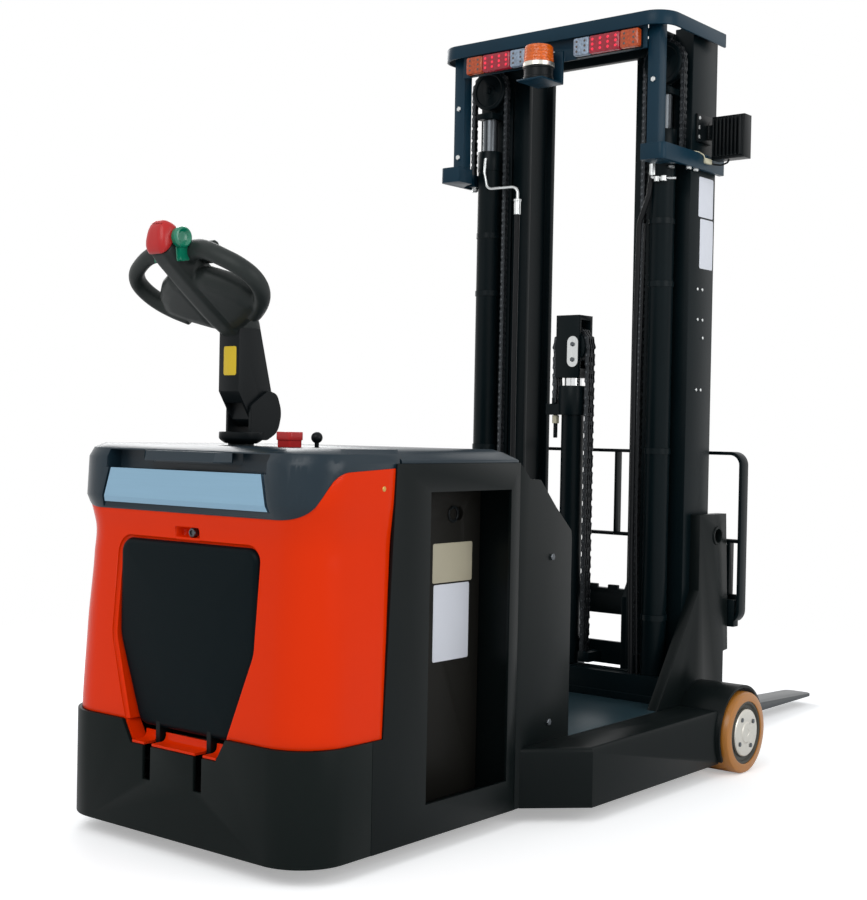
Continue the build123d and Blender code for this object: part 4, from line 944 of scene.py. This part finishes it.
def makeScrewTree():
    tree, start, end = newGroup("screwHeads", "GeometryNodeTree", [
        ("Geometry", "Geometry"), ("Head Sides", "Int"), ("Head Radius", "Float"), ("Head Height", "Float"),
        ("Finish", "Material")], [("Geometry", "Geometry")])
    head = put(tree, "GeometryNodeMeshCylinder", {
        "Vertices": start["Head Sides"], "Radius": start["Head Radius"],
        "Depth": start["Head Height"]}).outputs
    rise = put(tree, "ShaderNodeMath", {0: start["Head Height"]}, {1: 0.25}, operation="MULTIPLY")
    shrink = put(tree, "GeometryNodeExtrudeMesh", {
        "Mesh": head["Mesh"], "Selection": head["Top"], "Offset Scale": rise.outputs[0]},
        {"Individual": False}, mode="FACES").outputs
    taper = put(tree, "GeometryNodeScaleElements", {"Geometry": shrink["Mesh"], "Selection": shrink["Top"]},
                {"Scale": 0.8})
    facing = put(tree, "GeometryNodeInputNamedAttribute", None, {"Name": "facing"}, data_type="FLOAT_VECTOR")
    turn = put(tree, "FunctionNodeAlignRotationToVector", {"Vector": facing.outputs["Attribute"]}, axis="Z")
    spots = put(tree, "GeometryNodeInstanceOnPoints", {
        "Points": start["Geometry"], "Instance": taper.outputs["Geometry"],
        "Rotation": turn.outputs["Rotation"]})
    paint = painted(tree, spots.outputs["Instances"], start["Finish"])
    tree.links.new(paint.outputs["Geometry"], end["Geometry"])
    return tree


def makeLinkTree():
    # two small meshes taken in turn, and a second finish on their bright faces
    tree, start, end = newGroup("turnedCopies", "GeometryNodeTree", [
        ("Geometry", "Geometry"), ("First Part", "Object"), ("Second Part", "Object"),
        ("Finish", "Material"), ("Bright Finish", "Material")], [("Geometry", "Geometry")])

    def marked(label, kind):
        mark = put(tree, "GeometryNodeInputNamedAttribute", None, {"Name": label}, data_type=kind)
        return mark.outputs["Attribute"]

    turn = put(tree, "FunctionNodeEulerToRotation", {"Euler": marked("turn", "FLOAT_VECTOR")})
    first = marked("first", "BOOLEAN")
    other = put(tree, "FunctionNodeBooleanMath", {0: first}, operation="NOT")
    joined = put(tree, "GeometryNodeJoinGeometry")
    for label, chosen in (("First Part", first), ("Second Part", other.outputs[0])):
        part = put(tree, "GeometryNodeObjectInfo", {"Object": start[label]})
        spots = put(tree, "GeometryNodeInstanceOnPoints", {
            "Points": start["Geometry"], "Selection": chosen, "Instance": part.outputs["Geometry"],
            "Rotation": turn.outputs["Rotation"]})
        tree.links.new(spots.outputs["Instances"], joined.inputs["Geometry"])
    paint = painted(tree, joined.outputs["Geometry"], start["Finish"])
    shine = put(tree, "GeometryNodeSetMaterial", {
        "Geometry": paint.outputs["Geometry"], "Selection": marked("bright", "BOOLEAN"),
        "Material": start["Bright Finish"]})
    tree.links.new(shine.outputs["Geometry"], end["Geometry"])
    return tree


screwTree = makeScrewTree()
linkTree = makeLinkTree()


def setOut(name, tree, marks, spots, inputs, degrees):
    # marks name the columns of the spots that follow the place
    mesh = bpy.data.meshes.new(name)
    mesh.from_pydata([s[0] for s in spots], [], [])
    for column, (label, kind, field) in enumerate(marks, 1):
        mark = mesh.attributes.new(label, kind, "POINT")
        for i, s in enumerate(spots):
            setattr(mark.data[i], field, s[column])
    piece = newObject(name, mesh)
    copies = piece.modifiers.new("copies", "NODES")
    copies.node_group = tree
    for item in tree.interface.items_tree:
        if item.item_type == "SOCKET" and item.in_out == "INPUT" and item.name in inputs:
            copies[item.identifier] = inputs[item.name]
    applied(piece, degrees)
    return piece


def makeScrews(name, body, material, spots, sides, radius, height):
    # spots columns: x, y, z, then the way the head faces
    piece = setOut(name, screwTree, [("facing", "FLOAT_VECTOR", "vector")],
                   [(at(*s[:3]), s[3:]) for s in spots],
                   {"Head Sides": sides, "Head Radius": radius / 1000, "Head Height": height / 1000,
                    "Finish": finishes[material]}, 30)
    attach(piece, body)


def makeChain(name, body, parts, spots):
    # spots columns: place, turn as three angles, whether it is the first part; a chain given no body stays
    # unattached
    marks = [("turn", "FLOAT_VECTOR", "vector"), ("first", "BOOLEAN", "value")]
    piece = setOut(name, linkTree, marks, spots,
                   {"First Part": parts[0], "Second Part": parts[1], "Finish": finishes["chainSteel"],
                    "Bright Finish": finishes["boltDark"]}, 40)
    if body:
        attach(piece, body)
    return piece


# Leaf chains: figure-eight plates stacked across pins that lie along x
leafChain = {
    "roundTurn": 70, "roundSteps": 8, "roundShare": 0.98, "plateWaist": 0.72, "leafThick": 2.2,
    "pinRadius": 3.0, "headRadius": 2.6, "headProud": 1.3, "pinSteps": 10,
}


def makeLink(name, pitch, height, width, offsets):
    c = leafChain
    half, steps = height / 2, c["roundSteps"]
    outline = []
    for k in range(steps + 1):
        angle = math.radians(c["roundTurn"] * (2 * k / steps - 1))
        outline.append((pitch / 2 + half * math.cos(angle) * c["roundShare"], half * math.sin(angle)))
    outline.append((0, half * c["plateWaist"]))
    outline += [(-z, -y) for z, y in outline[:-1]]
    outline.append((0, -half * c["plateWaist"]))
    work = bmesh.new()
    for x in offsets:
        addRings(work, [[Vector((x0, y, z)) / 1000 for z, y in outline]
                        for x0 in (x - c["leafThick"] / 2, x + c["leafThick"] / 2)])
    dull = len(work.faces)
    addTurned(work, Vector((-width / 2 / 1000, 0, pitch / 2 / 1000)), (1, 0, 0),
              [(-c["headProud"], c["headRadius"]), (0, c["pinRadius"]), (width, c["pinRadius"]),
               (width + c["headProud"], c["headRadius"])], c["pinSteps"])
    bright = [i >= dull for i in range(len(work.faces))]
    mesh = meshOf(work, name)
    mesh.attributes.new("bright", "BOOLEAN", "FACE").data.foreach_set("value", bright)
    return newObject(name, mesh)


def runSpots(x, y, low, high, pitch):
    count = int((high - low) / pitch)
    spare = (high - low) - count * pitch
    return [(at(x, y, low + spare / 2 + (k + 0.5) * pitch), (0, 0, 0), k % 2 == 0) for k in range(count)]


def arcSpots(x, y, z, radius, pitch):
    count = round(math.pi * radius / pitch)
    spots = []
    for k in range(count):
        angle = math.pi * (k + 0.5) / count
        spot = at(x, y + radius * math.cos(angle), z + radius * math.sin(angle))
        spots.append((spot, (angle, 0, 0), k % 2 == 0))
    return spots


chainPlan = {
    "sideX": 1543.0, "sideY": 311.0, "sideRadius": 62.0, "sideZ": 2022.0, "outerLow": 1765.0,
    "innerLow": 312.0,
    "ramX": 1571.0, "headRadius": 58.0, "headZ": 1215.0, "leftLow": 1044.0, "rightLow": 300.0,
    # pitch, height of the plates, width across them; and the places of the plates
    "sideLink": (19.05, 15.0, 17.0), "sideOuter": (-7, 0, 7), "sideInner": (-4.4, 4.4),
    "headLink": (25.4, 16.0, 36.0), "headOuter": (-16.5, -5.5, 5.5, 16.5),
    "headInner": (-13.5, -2.8, 2.8, 13.5),
}


def makeChains():
    c = chainPlan
    side, head = ([makeLink(stem + kind + "Link", *c[stem + "Link"], c[stem + kind])
                   for kind in ("Outer", "Inner")] for stem in ("side", "head"))
    x, z, radius, pitch = c["sideX"], c["sideZ"], c["sideRadius"], c["sideLink"][0]
    for word, way in (("Left", 1), ("Right", -1)):
        y = way * c["sideY"]
        outer = makeChain("chainOut" + word, None, side,
                          runSpots(x, y + way * radius, c["outerLow"], z, pitch))
        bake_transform(outer)
        inner = makeChain("chainIn" + word, "middle_stage", side,
                          runSpots(x, y - way * radius, c["innerLow"], z, pitch))
        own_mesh(inner)
        arc = makeChain("chainArc" + word, "middle_stage", side, arcSpots(x, y, z, radius, pitch))
        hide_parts("side_chain_" + word.lower())
    x, z, radius, pitch = c["ramX"], c["headZ"], c["headRadius"], c["headLink"][0]
    left = makeChain("headChainLeft", None, head, runSpots(x, radius, c["leftLow"], z, pitch))
    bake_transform(left)
    right = makeChain("headChainRight", "ram", head, runSpots(x, -radius, c["rightLow"], z, pitch))
    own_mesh(right)
    arc = makeChain("headChainArc", "ram", head, arcSpots(x, 0, z, radius, pitch))
    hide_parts("free_lift_chain")
    for part in side + head:
        bpy.data.objects.remove(part)


makeChains()
print("chains made")


# Wheels: turned tyres on turned hubs. Profiles run from the inner face outwards: along, radius
turnedWheels = {
    "loadTread": [(0, 88.2), (0, 106), (2.5, 112), (9, 115), (60, 115), (119, 115), (125.5, 112), (128, 106),
                  (128, 90), (127, 88.2)],
    "loadHub": [(4, 22.4), (4, 58), (1, 64), (1, 87.8), (125, 87.8), (125, 82), (119, 78), (117, 68),
                (112, 60), (92, 50), (92, 22.4)],
    "loadCap": [(110, 58), (117.5, 67), (124.5, 67), (127, 65), (127.8, 62), (127.8, 31), (128.8, 29),
                (130.4, 26.5), (130.4, 12), (129.2, 10), (129.2, 0.5)],
    "casterTread": [(0, 55.2), (0, 69), (2.5, 73.5), (7, 75), (39, 75), (43.5, 73.5), (46, 69), (46, 55.2)],
    "casterHub": [(5, 8.6), (5, 18), (12, 23), (14, 49), (1.5, 54.8), (44.5, 54.8), (32, 49), (34, 23),
                  (41, 18), (41, 8.6)],
    "driveTread": [(0, 97), (0, 118), (2.5, 123), (7, 125), (73, 125), (77.5, 123), (80, 118), (80, 97)],
    "driveHub": [(10, 24.6), (10, 42), (30, 47), (34, 86), (1.5, 96.6), (78.5, 96.6), (58, 86), (60, 50),
                 (79.5, 44), (79.5, 24.6)],
    "treadSteps": 96, "hubSteps": 72, "screwRing": 48, "firstScrew": 35, "screwLevel": 128.9,
}
# node, x, inner face, z, way outwards, profiles, tread finish, slot
wheelRows = [
    ("load_wheel_left", 1641, 436, 115, 1, "load", "amberTread", "amber_tyre"),
    ("load_wheel_right", 1641, -436, 115, -1, "load", "amberTread", "amber_tyre"),
    ("caster_wheel_left", 153, 239, 75, 1, "caster", "darkRubber", "dark_tyre"),
    ("caster_wheel_right", 153, -239, 75, -1, "caster", "darkRubber", "dark_tyre"),
    ("drive_wheel", 195, -40, 125, 1, "drive", "darkRubber", "dark_tyre"),
]


def makeWheels():
    w = turnedWheels
    for node, x, y, z, way, kind, treadFinish, slotName in wheelRows:
        body = cadNodes[node]["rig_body"]
        first, *others = node.split("_")
        stem = first + "".join(word.title() for word in others)
        centre, outwards = at(x, y, z), (0, way, 0)
        tyre = makeTurned(stem + "Tread", [(centre, outwards, w[kind + "Tread"], w["treadSteps"], True)],
                          body, slotName, treadFinish, 25)
        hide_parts(node)
        makeTurned(stem + "Hub", [(centre, outwards, w[kind + "Hub"], w["hubSteps"], True)],
                   body, "black_paint", "wheelHub", 25)
        if kind != "load":
            continue
        makeTurned(stem + "Cap", [(centre, outwards, w["loadCap"], w["hubSteps"])],
                   body, "silver_panel", "capSteel", 25)
        spots = []
        for k in range(4):
            angle = math.radians(w["firstScrew"] + 90 * k)
            spots.append((x + w["screwRing"] * math.cos(angle), y + way * w["screwLevel"],
                          z + w["screwRing"] * math.sin(angle), 0, way, 0))
        makeScrews(stem + "Screws", body, "boltDark", spots, 16, 6.5, 1.8)


makeWheels()
print("wheels made")


# Lamps on the guard's rear bar and the beacon on its shelf
tailLamp = {
    "rear": 1387.3, "lensFront": 1407.0, "front": 1415.8, "low": 2039.0, "high": 2095.0,
    "rim": 2.5, "gap": 0.6,
    # start, end, finish
    "lenses": [(76, 130, 0), (130, 233, 1), (233, 294, 2), (-149, -95, 0), (-252, -149, 1), (-313, -252, 2)],
    "lensEdge": [(0, 5), (1.2, 2.4), (4, 0.9), (12, 0.4)], "housings": [(76, 294), (-313, -95)],
    # name, finish, columns in a lens, radius; the first row stands in the red lenses
    "diodes": [("lampDiodes", "diodeRed", 4, 4.2), ("lampDarkDiodes", "diodePale", 2, 3.6)],
    "diodeRows": 3, "diodeEdge": 7,
}


def makeTailLamps():
    t = tailLamp
    low, high, rim, rear = t["low"], t["high"], t["rim"], t["rear"]
    work = bmesh.new()
    for start, end in t["housings"]:
        addBlock(work, (t["lensFront"] - 3, start, low), (t["front"], end, high), edge=3.0)
    makePiece("lampHousings", work, "root", "black_plastic", "armBlack")
    work = bmesh.new()
    layers = [(0, t["lensFront"])] + [(inset, rear + step) for inset, step in t["lensEdge"]]
    for start, end, finish in t["lenses"]:
        addLayers(work, boxLoop(start + t["gap"], end - t["gap"], low + rim, high - rim), 5, 5, layers,
                  slotIndex=finish)
    lenses = makePiece("tailLenses", work, "root", "lamp_lens", "lensClear", "lensRed", "lensAmber")
    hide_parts("tail_lamps")
    first, tall = low + t["diodeEdge"], high - low - 2 * t["diodeEdge"]
    for name, material, columns, radius in t["diodes"]:
        spots = []
        for start, end, finish in t["lenses"]:
            if (finish == 1) != (material == "diodeRed"):
                continue
            for column in range(columns):
                for row in range(t["diodeRows"]):
                    y = start + (end - start) * (column + 0.5) / columns
                    spots.append((rear + 0.6, y, first + tall * (row + 0.5) / t["diodeRows"], -1, 0, 0))
        makeScrews(name, "root", material, spots, 14, radius, 0.8)


beaconPlan = {
    "x": 1352.0, "y": -2.0, "foot": 1977.0, "ribs": 5, "ribStep": 9.4, "ribShrink": 0.5,
    "base": [(0, 43), (1.5, 44.5), (7, 44.5), (9, 42.8), (30, 42.8), (32, 44.5), (36, 44.5), (37, 43.5)],
    "band": [(37, 45), (38, 46), (49, 46), (50, 45)],
    "glassLow": 50.0, "glassFoot": 42.5, "rib": [(1.2, 43.6), (6.2, 43.6), (7.4, 42), (8.6, 42)],
    "glassTop": [(98.5, 38.5), (100.5, 34), (101, 20), (101, 1)],
    "cap": [(98, 19), (101, 19), (102.6, 17.5), (103.8, 12), (103.9, 1)],
}


def makeBeacon():
    b = beaconPlan
    spot, up = at(b["x"], b["y"], b["foot"]), (0, 0, 1)
    makeTurned("beaconBase", [(spot, up, b["base"], 64)], "root", "black_plastic", "armBlack")
    makeTurned("beaconBand", [(spot, up, b["band"], 64), (spot, up, b["cap"], 48)], "root", "silver_panel",
               "capSteel")
    profile = [(b["glassLow"], b["glassFoot"])]
    for rib in range(b["ribs"]):
        low = b["glassLow"] + rib * b["ribStep"]
        profile += [(low + step, radius - b["ribShrink"] * rib) for step, radius in b["rib"]]
    glass = makeTurned("beaconGlass", [(spot, up, profile + b["glassTop"], 72)], "root", "amber_lens",
                       "beaconAmber", 25)
    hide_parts("beacon")


makeTailLamps()
makeBeacon()
print("lamps made")


# Floodlight beside the mast: a pale bezel round its lens, and its plug. Layers: inset, x
floodlight = {
    "outline": boxLoop(-503.5, -402.5, 1757, 1877),
    "bezel": [(0.8, 1697), (0, 1699), (0, 1704.5), (1.2, 1706), (8, 1706), (9, 1703.5)],
    "glass": [(9.5, 1702), (9.5, 1704.8), (11, 1705.4)], "plug": ((1628, -404, 1741), (1664, -393, 1756)),
}


def makeFloodlight():
    f = floodlight
    work = bmesh.new()
    addLayers(work, f["outline"], 7, 5, f["bezel"], capStart=False)
    makePiece("floodBezel", work, "root", "silver_panel", "zincPlate")
    work = bmesh.new()
    addLayers(work, f["outline"], 5, 5, f["glass"])
    makePiece("floodGlass", work, "root", "lamp_lens", "lensClear")
    work = bmesh.new()
    addBlock(work, *f["plug"], edge=2.5)
    makePiece("floodPlug", work, "root", "silver_panel", "creamPlastic")


# Sheave faces and pins, bright rods, the keeper of the free lift sheave and the chain anchor
mastFittings = {
    "faceStep": 12.4, "boltStep": 4,
    "sheaveRim": [(-0.5, 60), (1.2, 60), (1.8, 58.5), (1.8, 50), (0.8, 48), (-0.5, 48)],
    "sheaveBoss": [(-0.5, 22), (1.5, 22), (2.2, 20), (2.2, 1)],
    "rodLow": 330, "rod": [(0, 22), (1, 23.35), (1600, 23.35), (1601, 22)],
    "ramLow": 340, "ram": [(0, 25), (1, 26.3), (781, 26.3), (782, 25)],
    "keeper": boxLoop(-40, -2, 1154, 1246), "keeperRadius": 18.5, "keeperFaces": [(0, 1534), (0, 1530.5)],
    "keeperBolts": [(1529, -21, 1176, -1, 0, 0), (1529, -21, 1222, -1, 0, 0)],
    "anchorSide": 62, "anchorLow": 940, "anchorRod": [(0, 5), (1.5, 6.5), (70, 6.5), (71, 6)],
    "anchorNut": [(44, 9), (45, 11), (68, 11), (69, 9)], "anchorBlock": ((1553, 54, 1040), (1589, 66, 1062)),
}


def makeMastFittings():
    c, m, up = chainPlan, mastFittings, (0, 0, 1)
    x, z = c["sideX"] - m["faceStep"], c["sideZ"]
    sides = [way * c["sideY"] for way in (-1, 1)]
    faces = []
    for y in sides:
        faces += [(at(x, y, z), (-1, 0, 0), m["sheaveRim"], 72, True),
                  (at(x, y, z), (-1, 0, 0), m["sheaveBoss"], 40)]
    makeTurned("sheaveFaces", faces, "middle_stage", "black_paint", "railBlack", 25)
    makeScrews("sheaveBolts", "middle_stage", "zincPlate",
               [(x - m["boltStep"], y, z, -1, 0, 0) for y in sides], 6, 9.5, 5)
    makeTurned("liftRodSleeves", [(at(c["sideX"], y, m["rodLow"]), up, m["rod"], 48) for y in sides],
               "middle_stage", "bright_rod", "boltDark")
    makeTurned("ramSleeve", [(at(c["ramX"], 0, m["ramLow"]), up, m["ram"], 48)], "ram", "bright_rod",
               "chromedRod")
    work = bmesh.new()
    addLayers(work, m["keeper"], m["keeperRadius"], 8, m["keeperFaces"])
    makePiece("sheaveKeeper", work, "ram", "silver_panel", "zincPlate")
    makeScrews("keeperBolts", "ram", "boltDark", m["keeperBolts"], 6, 7, 4)
    spot = at(c["ramX"], m["anchorSide"], m["anchorLow"])
    work = bmesh.new()
    addTurned(work, spot, up, m["anchorRod"], 20)
    addBlock(work, *m["anchorBlock"], edge=2)
    makePiece("chainAnchor", work, "inner_stage", "black_paint", "railBlack")
    makeTurned("anchorNut", [(spot, up, m["anchorNut"], 6)], "inner_stage", "silver_panel", "creamPlastic")


# Hydraulic pipes, hoses and wires held to the mast: name, finish, slot, radius, bend, points
pipeRows = [
    ("leftPipe", "zincPlate", "bright_rod", 4.5, 22,
     [(1507, 300, 1806), (1499, 298, 1760), (1499, 286, 1709), (1499, 170, 1706), (1499, 170, 1664)]),
    ("leftHose", "hoseBlack", "black_plastic", 8.0, 60,
     [(1499, 170, 1622), (1500, 172, 1200), (1504, 172, 700), (1513, 170, 262), (1513, 170, 252)]),
    ("rightHose", "hoseBlack", "black_plastic", 7.5, 60,
     [(1506, -300, 1730), (1503, -290, 1640), (1500, -262, 1560), (1500, -256, 1200), (1502, -256, 600),
      (1513, -256, 262), (1513, -256, 252)]),
    ("rightPipe", "zincPlate", "bright_rod", 4.5, 18,
     [(1507, -300, 1700), (1499, -300, 1690), (1499, -352, 1684), (1512, -372, 1684)]),
    ("floodWire", "creamPlastic", "silver_panel", 1.8, 14,
     [(1500, -352, 1769.6), (1540, -364, 1769.8), (1600, -392, 1769.8), (1622, -399, 1764),
      (1630, -399, 1750)]),
    ("floodLead", "hoseBlack", "black_plastic", 2.6, 14,
     [(1662, -399, 1748), (1676, -401, 1744), (1688, -420, 1742), (1690, -440, 1748), (1690, -444, 1757)]),
    ("sideWire", "hoseBlack", "black_plastic", 3.0, 30,
     [(1505, -278, 1560), (1500, -276, 1300), (1500, -270, 900), (1500, -274, 640), (1513, -276, 262)]),
]
pipeEnds = {
    # x, y, z, height, radius
    "fittings": [(1499, 170, 1620, 46, 10.5), (1499, 170, 1660, 8, 12), (1505, -300, 1696, 34, 9.5),
                 (1499, -318, 1676, 16, 9), (1499, -340, 1676, 16, 9)],
    "clamp": [(0, 36.2), (0, 38.4), (16, 38.4), (16, 36.2)], "clampLevels": (420, 900, 1380, 1560),
}


def makePipes():
    for name, finish, slotName, radius, bend, points in pipeRows:
        work = bmesh.new()
        addPipe(work, [at(*p) for p in points], radius, bend)
        makePiece(name, work, "root", slotName, finish, degrees=40)
    p, up = pipeEnds, (0, 0, 1)
    fittings = []
    for x, y, z, tall, radius in p["fittings"]:
        profile = [(0, radius - 1.5), (1.2, radius), (tall - 1.2, radius), (tall, radius - 1.5)]
        fittings.append((at(x, y, z), up, profile, 18))
    makeTurned("hoseFittings", fittings, "root", "bright_rod", "zincPlate")
    clamps = [(at(chainPlan["sideX"], way * chainPlan["sideY"], z), up, p["clamp"], 48, True)
              for way in (-1, 1) for z in p["clampLevels"]]
    makeTurned("hoseClamps", clamps, "root", "black_paint", "railBlack")


makeFloodlight()
makeMastFittings()
makePipes()
print("mast fittings made")


# Blank plates and bolts
def onSide(level, along, up):
    return at(along, level, up)


# name, body, how it is placed, level, outline, finish
plateRows = [
    ("batteryPlateHigh", "root", onSide, -303.0, boxLoop(530, 682, 594, 688), "plateBeige"),
    ("batteryPlateLow", "root", onSide, -303.0, boxLoop(535, 672, 407, 590), "plateWhite"),
    ("mastPlateHigh", "root", onSide, -379.0, boxLoop(1634, 1719, 1590, 1706), "plateWhite"),
    ("mastPlateLow", "root", onSide, -379.0, boxLoop(1645, 1722, 1441, 1585), "plateWhite"),
    ("armPlate", "tiller", at, 153.0, boxLoop(-24, 17, 1072, 1138), "plateYellow"),
]
plateEdge = [(0, -0.4), (0, 0.5), (0.5, 0.9)]
for name, body, place, level, outline, finish in plateRows:
    work = bmesh.new()
    addLayers(work, outline, 5, 5, [(inset, level - proud) for inset, proud in plateEdge], place)
    makePiece(name, work, body, "silver_panel", finish)
makeTurned("batteryRing", [(at(604, -302.5, 756), (0, -1, 0),
                            [(0, 20), (3, 20), (4, 18.5), (4, 15.5), (3, 14), (0, 14)], 40, True)],
           "root", "black_plastic", "armBlack")

# name, slot, finish, sides, radius, height, facing or None for outwards, places
screwRows = [
    ("frameBolts", "black_paint", "boltDark", 6, 9, 5, None,
     [(874, -409, 646), (871, -409, 234), (874, 409, 646), (871, 409, 234)]),
    ("coverScrew", "silver_panel", "brassScrew", 16, 6, 3, None, [(236, -401, 827), (236, 401, 827)]),
    ("railBolts", "black_paint", "zincPlate", 12, 4.5, 2.5, None,
     [(1636, -380, 1380), (1664, -380, 1380), (1640, -380, 1292), (1668, -380, 1292), (1672, -380, 1240),
      (1640, -380, 1088), (1666, -380, 1088)]),
    ("floodBolts", "bright_rod", "zincPlate", 6, 6, 4, None,
     [(1614, -387, 1870), (1614, -387, 1843), (1614, -387, 1816)]),
    ("postBolts", "bright_rod", "zincPlate", 6, 8, 5, (-1, 0, 0),
     [(1423, 344, 1950), (1423, -344, 1950), (1423, 344, 1800)]),
    ("barBolts", "bright_rod", "zincPlate", 6, 7, 5, (-1, 0, 0), [(1414, -10, 2068)]),
    ("armBolts", "bright_rod", "zincPlate", 6, 9, 6, (0, 0, -1),
     [(1520, -352, 1719), (1560, -384, 1719), (1600, -384, 1719), (1520, 352, 1719), (1560, 384, 1719)]),
]
for name, slotName, finish, sides, radius, height, facing, places in screwRows:
    spots = [(*p, *(facing or (0, math.copysign(1, p[1]), 0))) for p in places]
    makeScrews(name, "root", finish, spots, sides, radius, height)
print("plates and bolts made")


# Thumb wheels, paddles and the soft red button on the tiller head
headControls = {
    # along the axis, radius
    "wheel": [(0, 19), (2, 22), (5, 23), (17, 23), (20, 21.5), (21, 18.5), (18, 15.5), (14.5, 12), (13, 6),
              (13, 1)],
    "wheelSpot": (286.0, 29.0, 14.0), "leverEnd": (250.0, -20.0),
    "leverStart": 8, "leverHalf": 8.5, "leverFlare": 2,
    # layers: inset, aside
    "leverLayers": [(1.5, 0), (0, 1.5), (0, 13), (1.5, 15)],
    "paddleLayers": [(2, 0), (0, 2), (0, 21), (2, 23)],
    "paddle": [(-12, -24), (12, -24), (20, 22), (6, 26), (-8, 18)], "paddleSpot": (203.0, 31.3, 44.0),
    # along the head, half width, low, high
    "cap": [(290.6, 27, -32, 29), (291.2, 30, -37, 32), (294, 31.5, -39, 34), (302, 31.5, -37, 34.5),
            (309, 31, -32.5, 34), (316, 29.5, -25, 33), (322, 27, -16, 31), (327, 23.5, -8, 28.5),
            (331, 18.5, 1, 25), (333, 12, 7, 19)],
}


def besideHead(spot, way):
    # how layers are placed that stand on one side of the head
    along, aside, up = spot
    return lambda level, a, b: inHead(along + a, way * (aside + level), up + b)


def makeHeadControls():
    h = headControls
    along, aside, up = h["wheelSpot"]
    reach = Vector((h["leverEnd"][0] - along, h["leverEnd"][1] - up))
    ahead = reach.normalized()
    across = Vector((-ahead.y, ahead.x))
    half, wide, start = h["leverHalf"], h["leverHalf"] + h["leverFlare"], ahead * h["leverStart"]
    lever = [across * -half + start, across * half + start, across * wide + reach, across * -wide + reach]
    work = bmesh.new()
    for way in (-1, 1):
        addTurned(work, inHead(along, way * aside, up), (0, way, 0), h["wheel"], 56)
        addLayers(work, lever, 4, 4, h["leverLayers"], besideHead(h["wheelSpot"], way))
    makePiece("thumbWheels", work, "tiller", "green_plastic", "thumbGreen", degrees=28)
    work = bmesh.new()
    for way in (-1, 1):
        addLayers(work, h["paddle"], 6, 5, h["paddleLayers"], besideHead(h["paddleSpot"], way))
    paddles = makePiece("thumbPaddles", work, "tiller", "grey_handle", "handleGrey", degrees=28)
    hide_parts("butterfly")
    work = bmesh.new()
    addBar(work, h["cap"], 17, 7)
    button = makePiece("softButton", work, "tiller", "red_plastic", "buttonRed", degrees=50)
    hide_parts("belly_button")


# Tiller foot: a turned cup with two rounded ears round the arm's pivot
tillerFoot = {
    "x": 195.0, "low": 917.0,
    "cup": [(0, 36), (2, 40), (6, 46), (10, 50), (12, 51), (25, 51), (26.5, 49.5), (26.5, 45), (18, 44),
            (18, 1)],
    "ears": [(185, 925), (239, 925), (273, 944), (285, 990), (269, 1032), (241, 1040), (185, 1004)],
    "earRadii": (6, 20, 40, 60, 22, 14, 10),
    # layers: inset, aside
    "earLayers": [(0, 34.0), (0, 40.8), (1.2, 42.0)],
}


def makeTillerFoot():
    t = tillerFoot
    work = bmesh.new()
    addTurned(work, at(t["x"], 0, t["low"]), (0, 0, 1), t["cup"], 64)
    for way in (-1, 1):
        addLayers(work, t["ears"], t["earRadii"], 8, t["earLayers"],
                  lambda y, a, b: at(a, way * y, b), least=2)
    foot = makePiece("tillerFoot", work, cadNodes["tiller_base"]["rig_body"], "black_plastic", "armBlack",
                     degrees=28)
    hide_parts("tiller_base")


# Sloping visor in the middle of the hand recess
gripVisor = {
    "top": 898.5, "low": 878, "under": 876, "rear": 34, "lipStep": 1.5,
    # aside, front at the top, front at the bottom
    "rows": [(-144, 32, 31), (-112, 13, 5), (112, 13, 5), (144, 32, 31)],
}


def makeGripVisor():
    v = gripVisor
    work = bmesh.new()
    addRings(work, [[at(high, y, v["top"]), at(low, y, v["low"]), at(low + v["lipStep"], y, v["under"]),
                     at(v["rear"], y, v["under"]), at(v["rear"], y, v["top"])]
                    for y, high, low in v["rows"]])
    makePiece("gripVisor", work, "root", "black_plastic", "trayBlack", degrees=25)


makeHeadControls()
makeTillerFoot()
makeGripVisor()
# the hand panel keeps its own mesh
panelFinishes = cadNodes["handle_panel"].data.materials
panelFinishes.clear()
panelFinishes.append(finishes["silverPanel"])
print("head controls made")
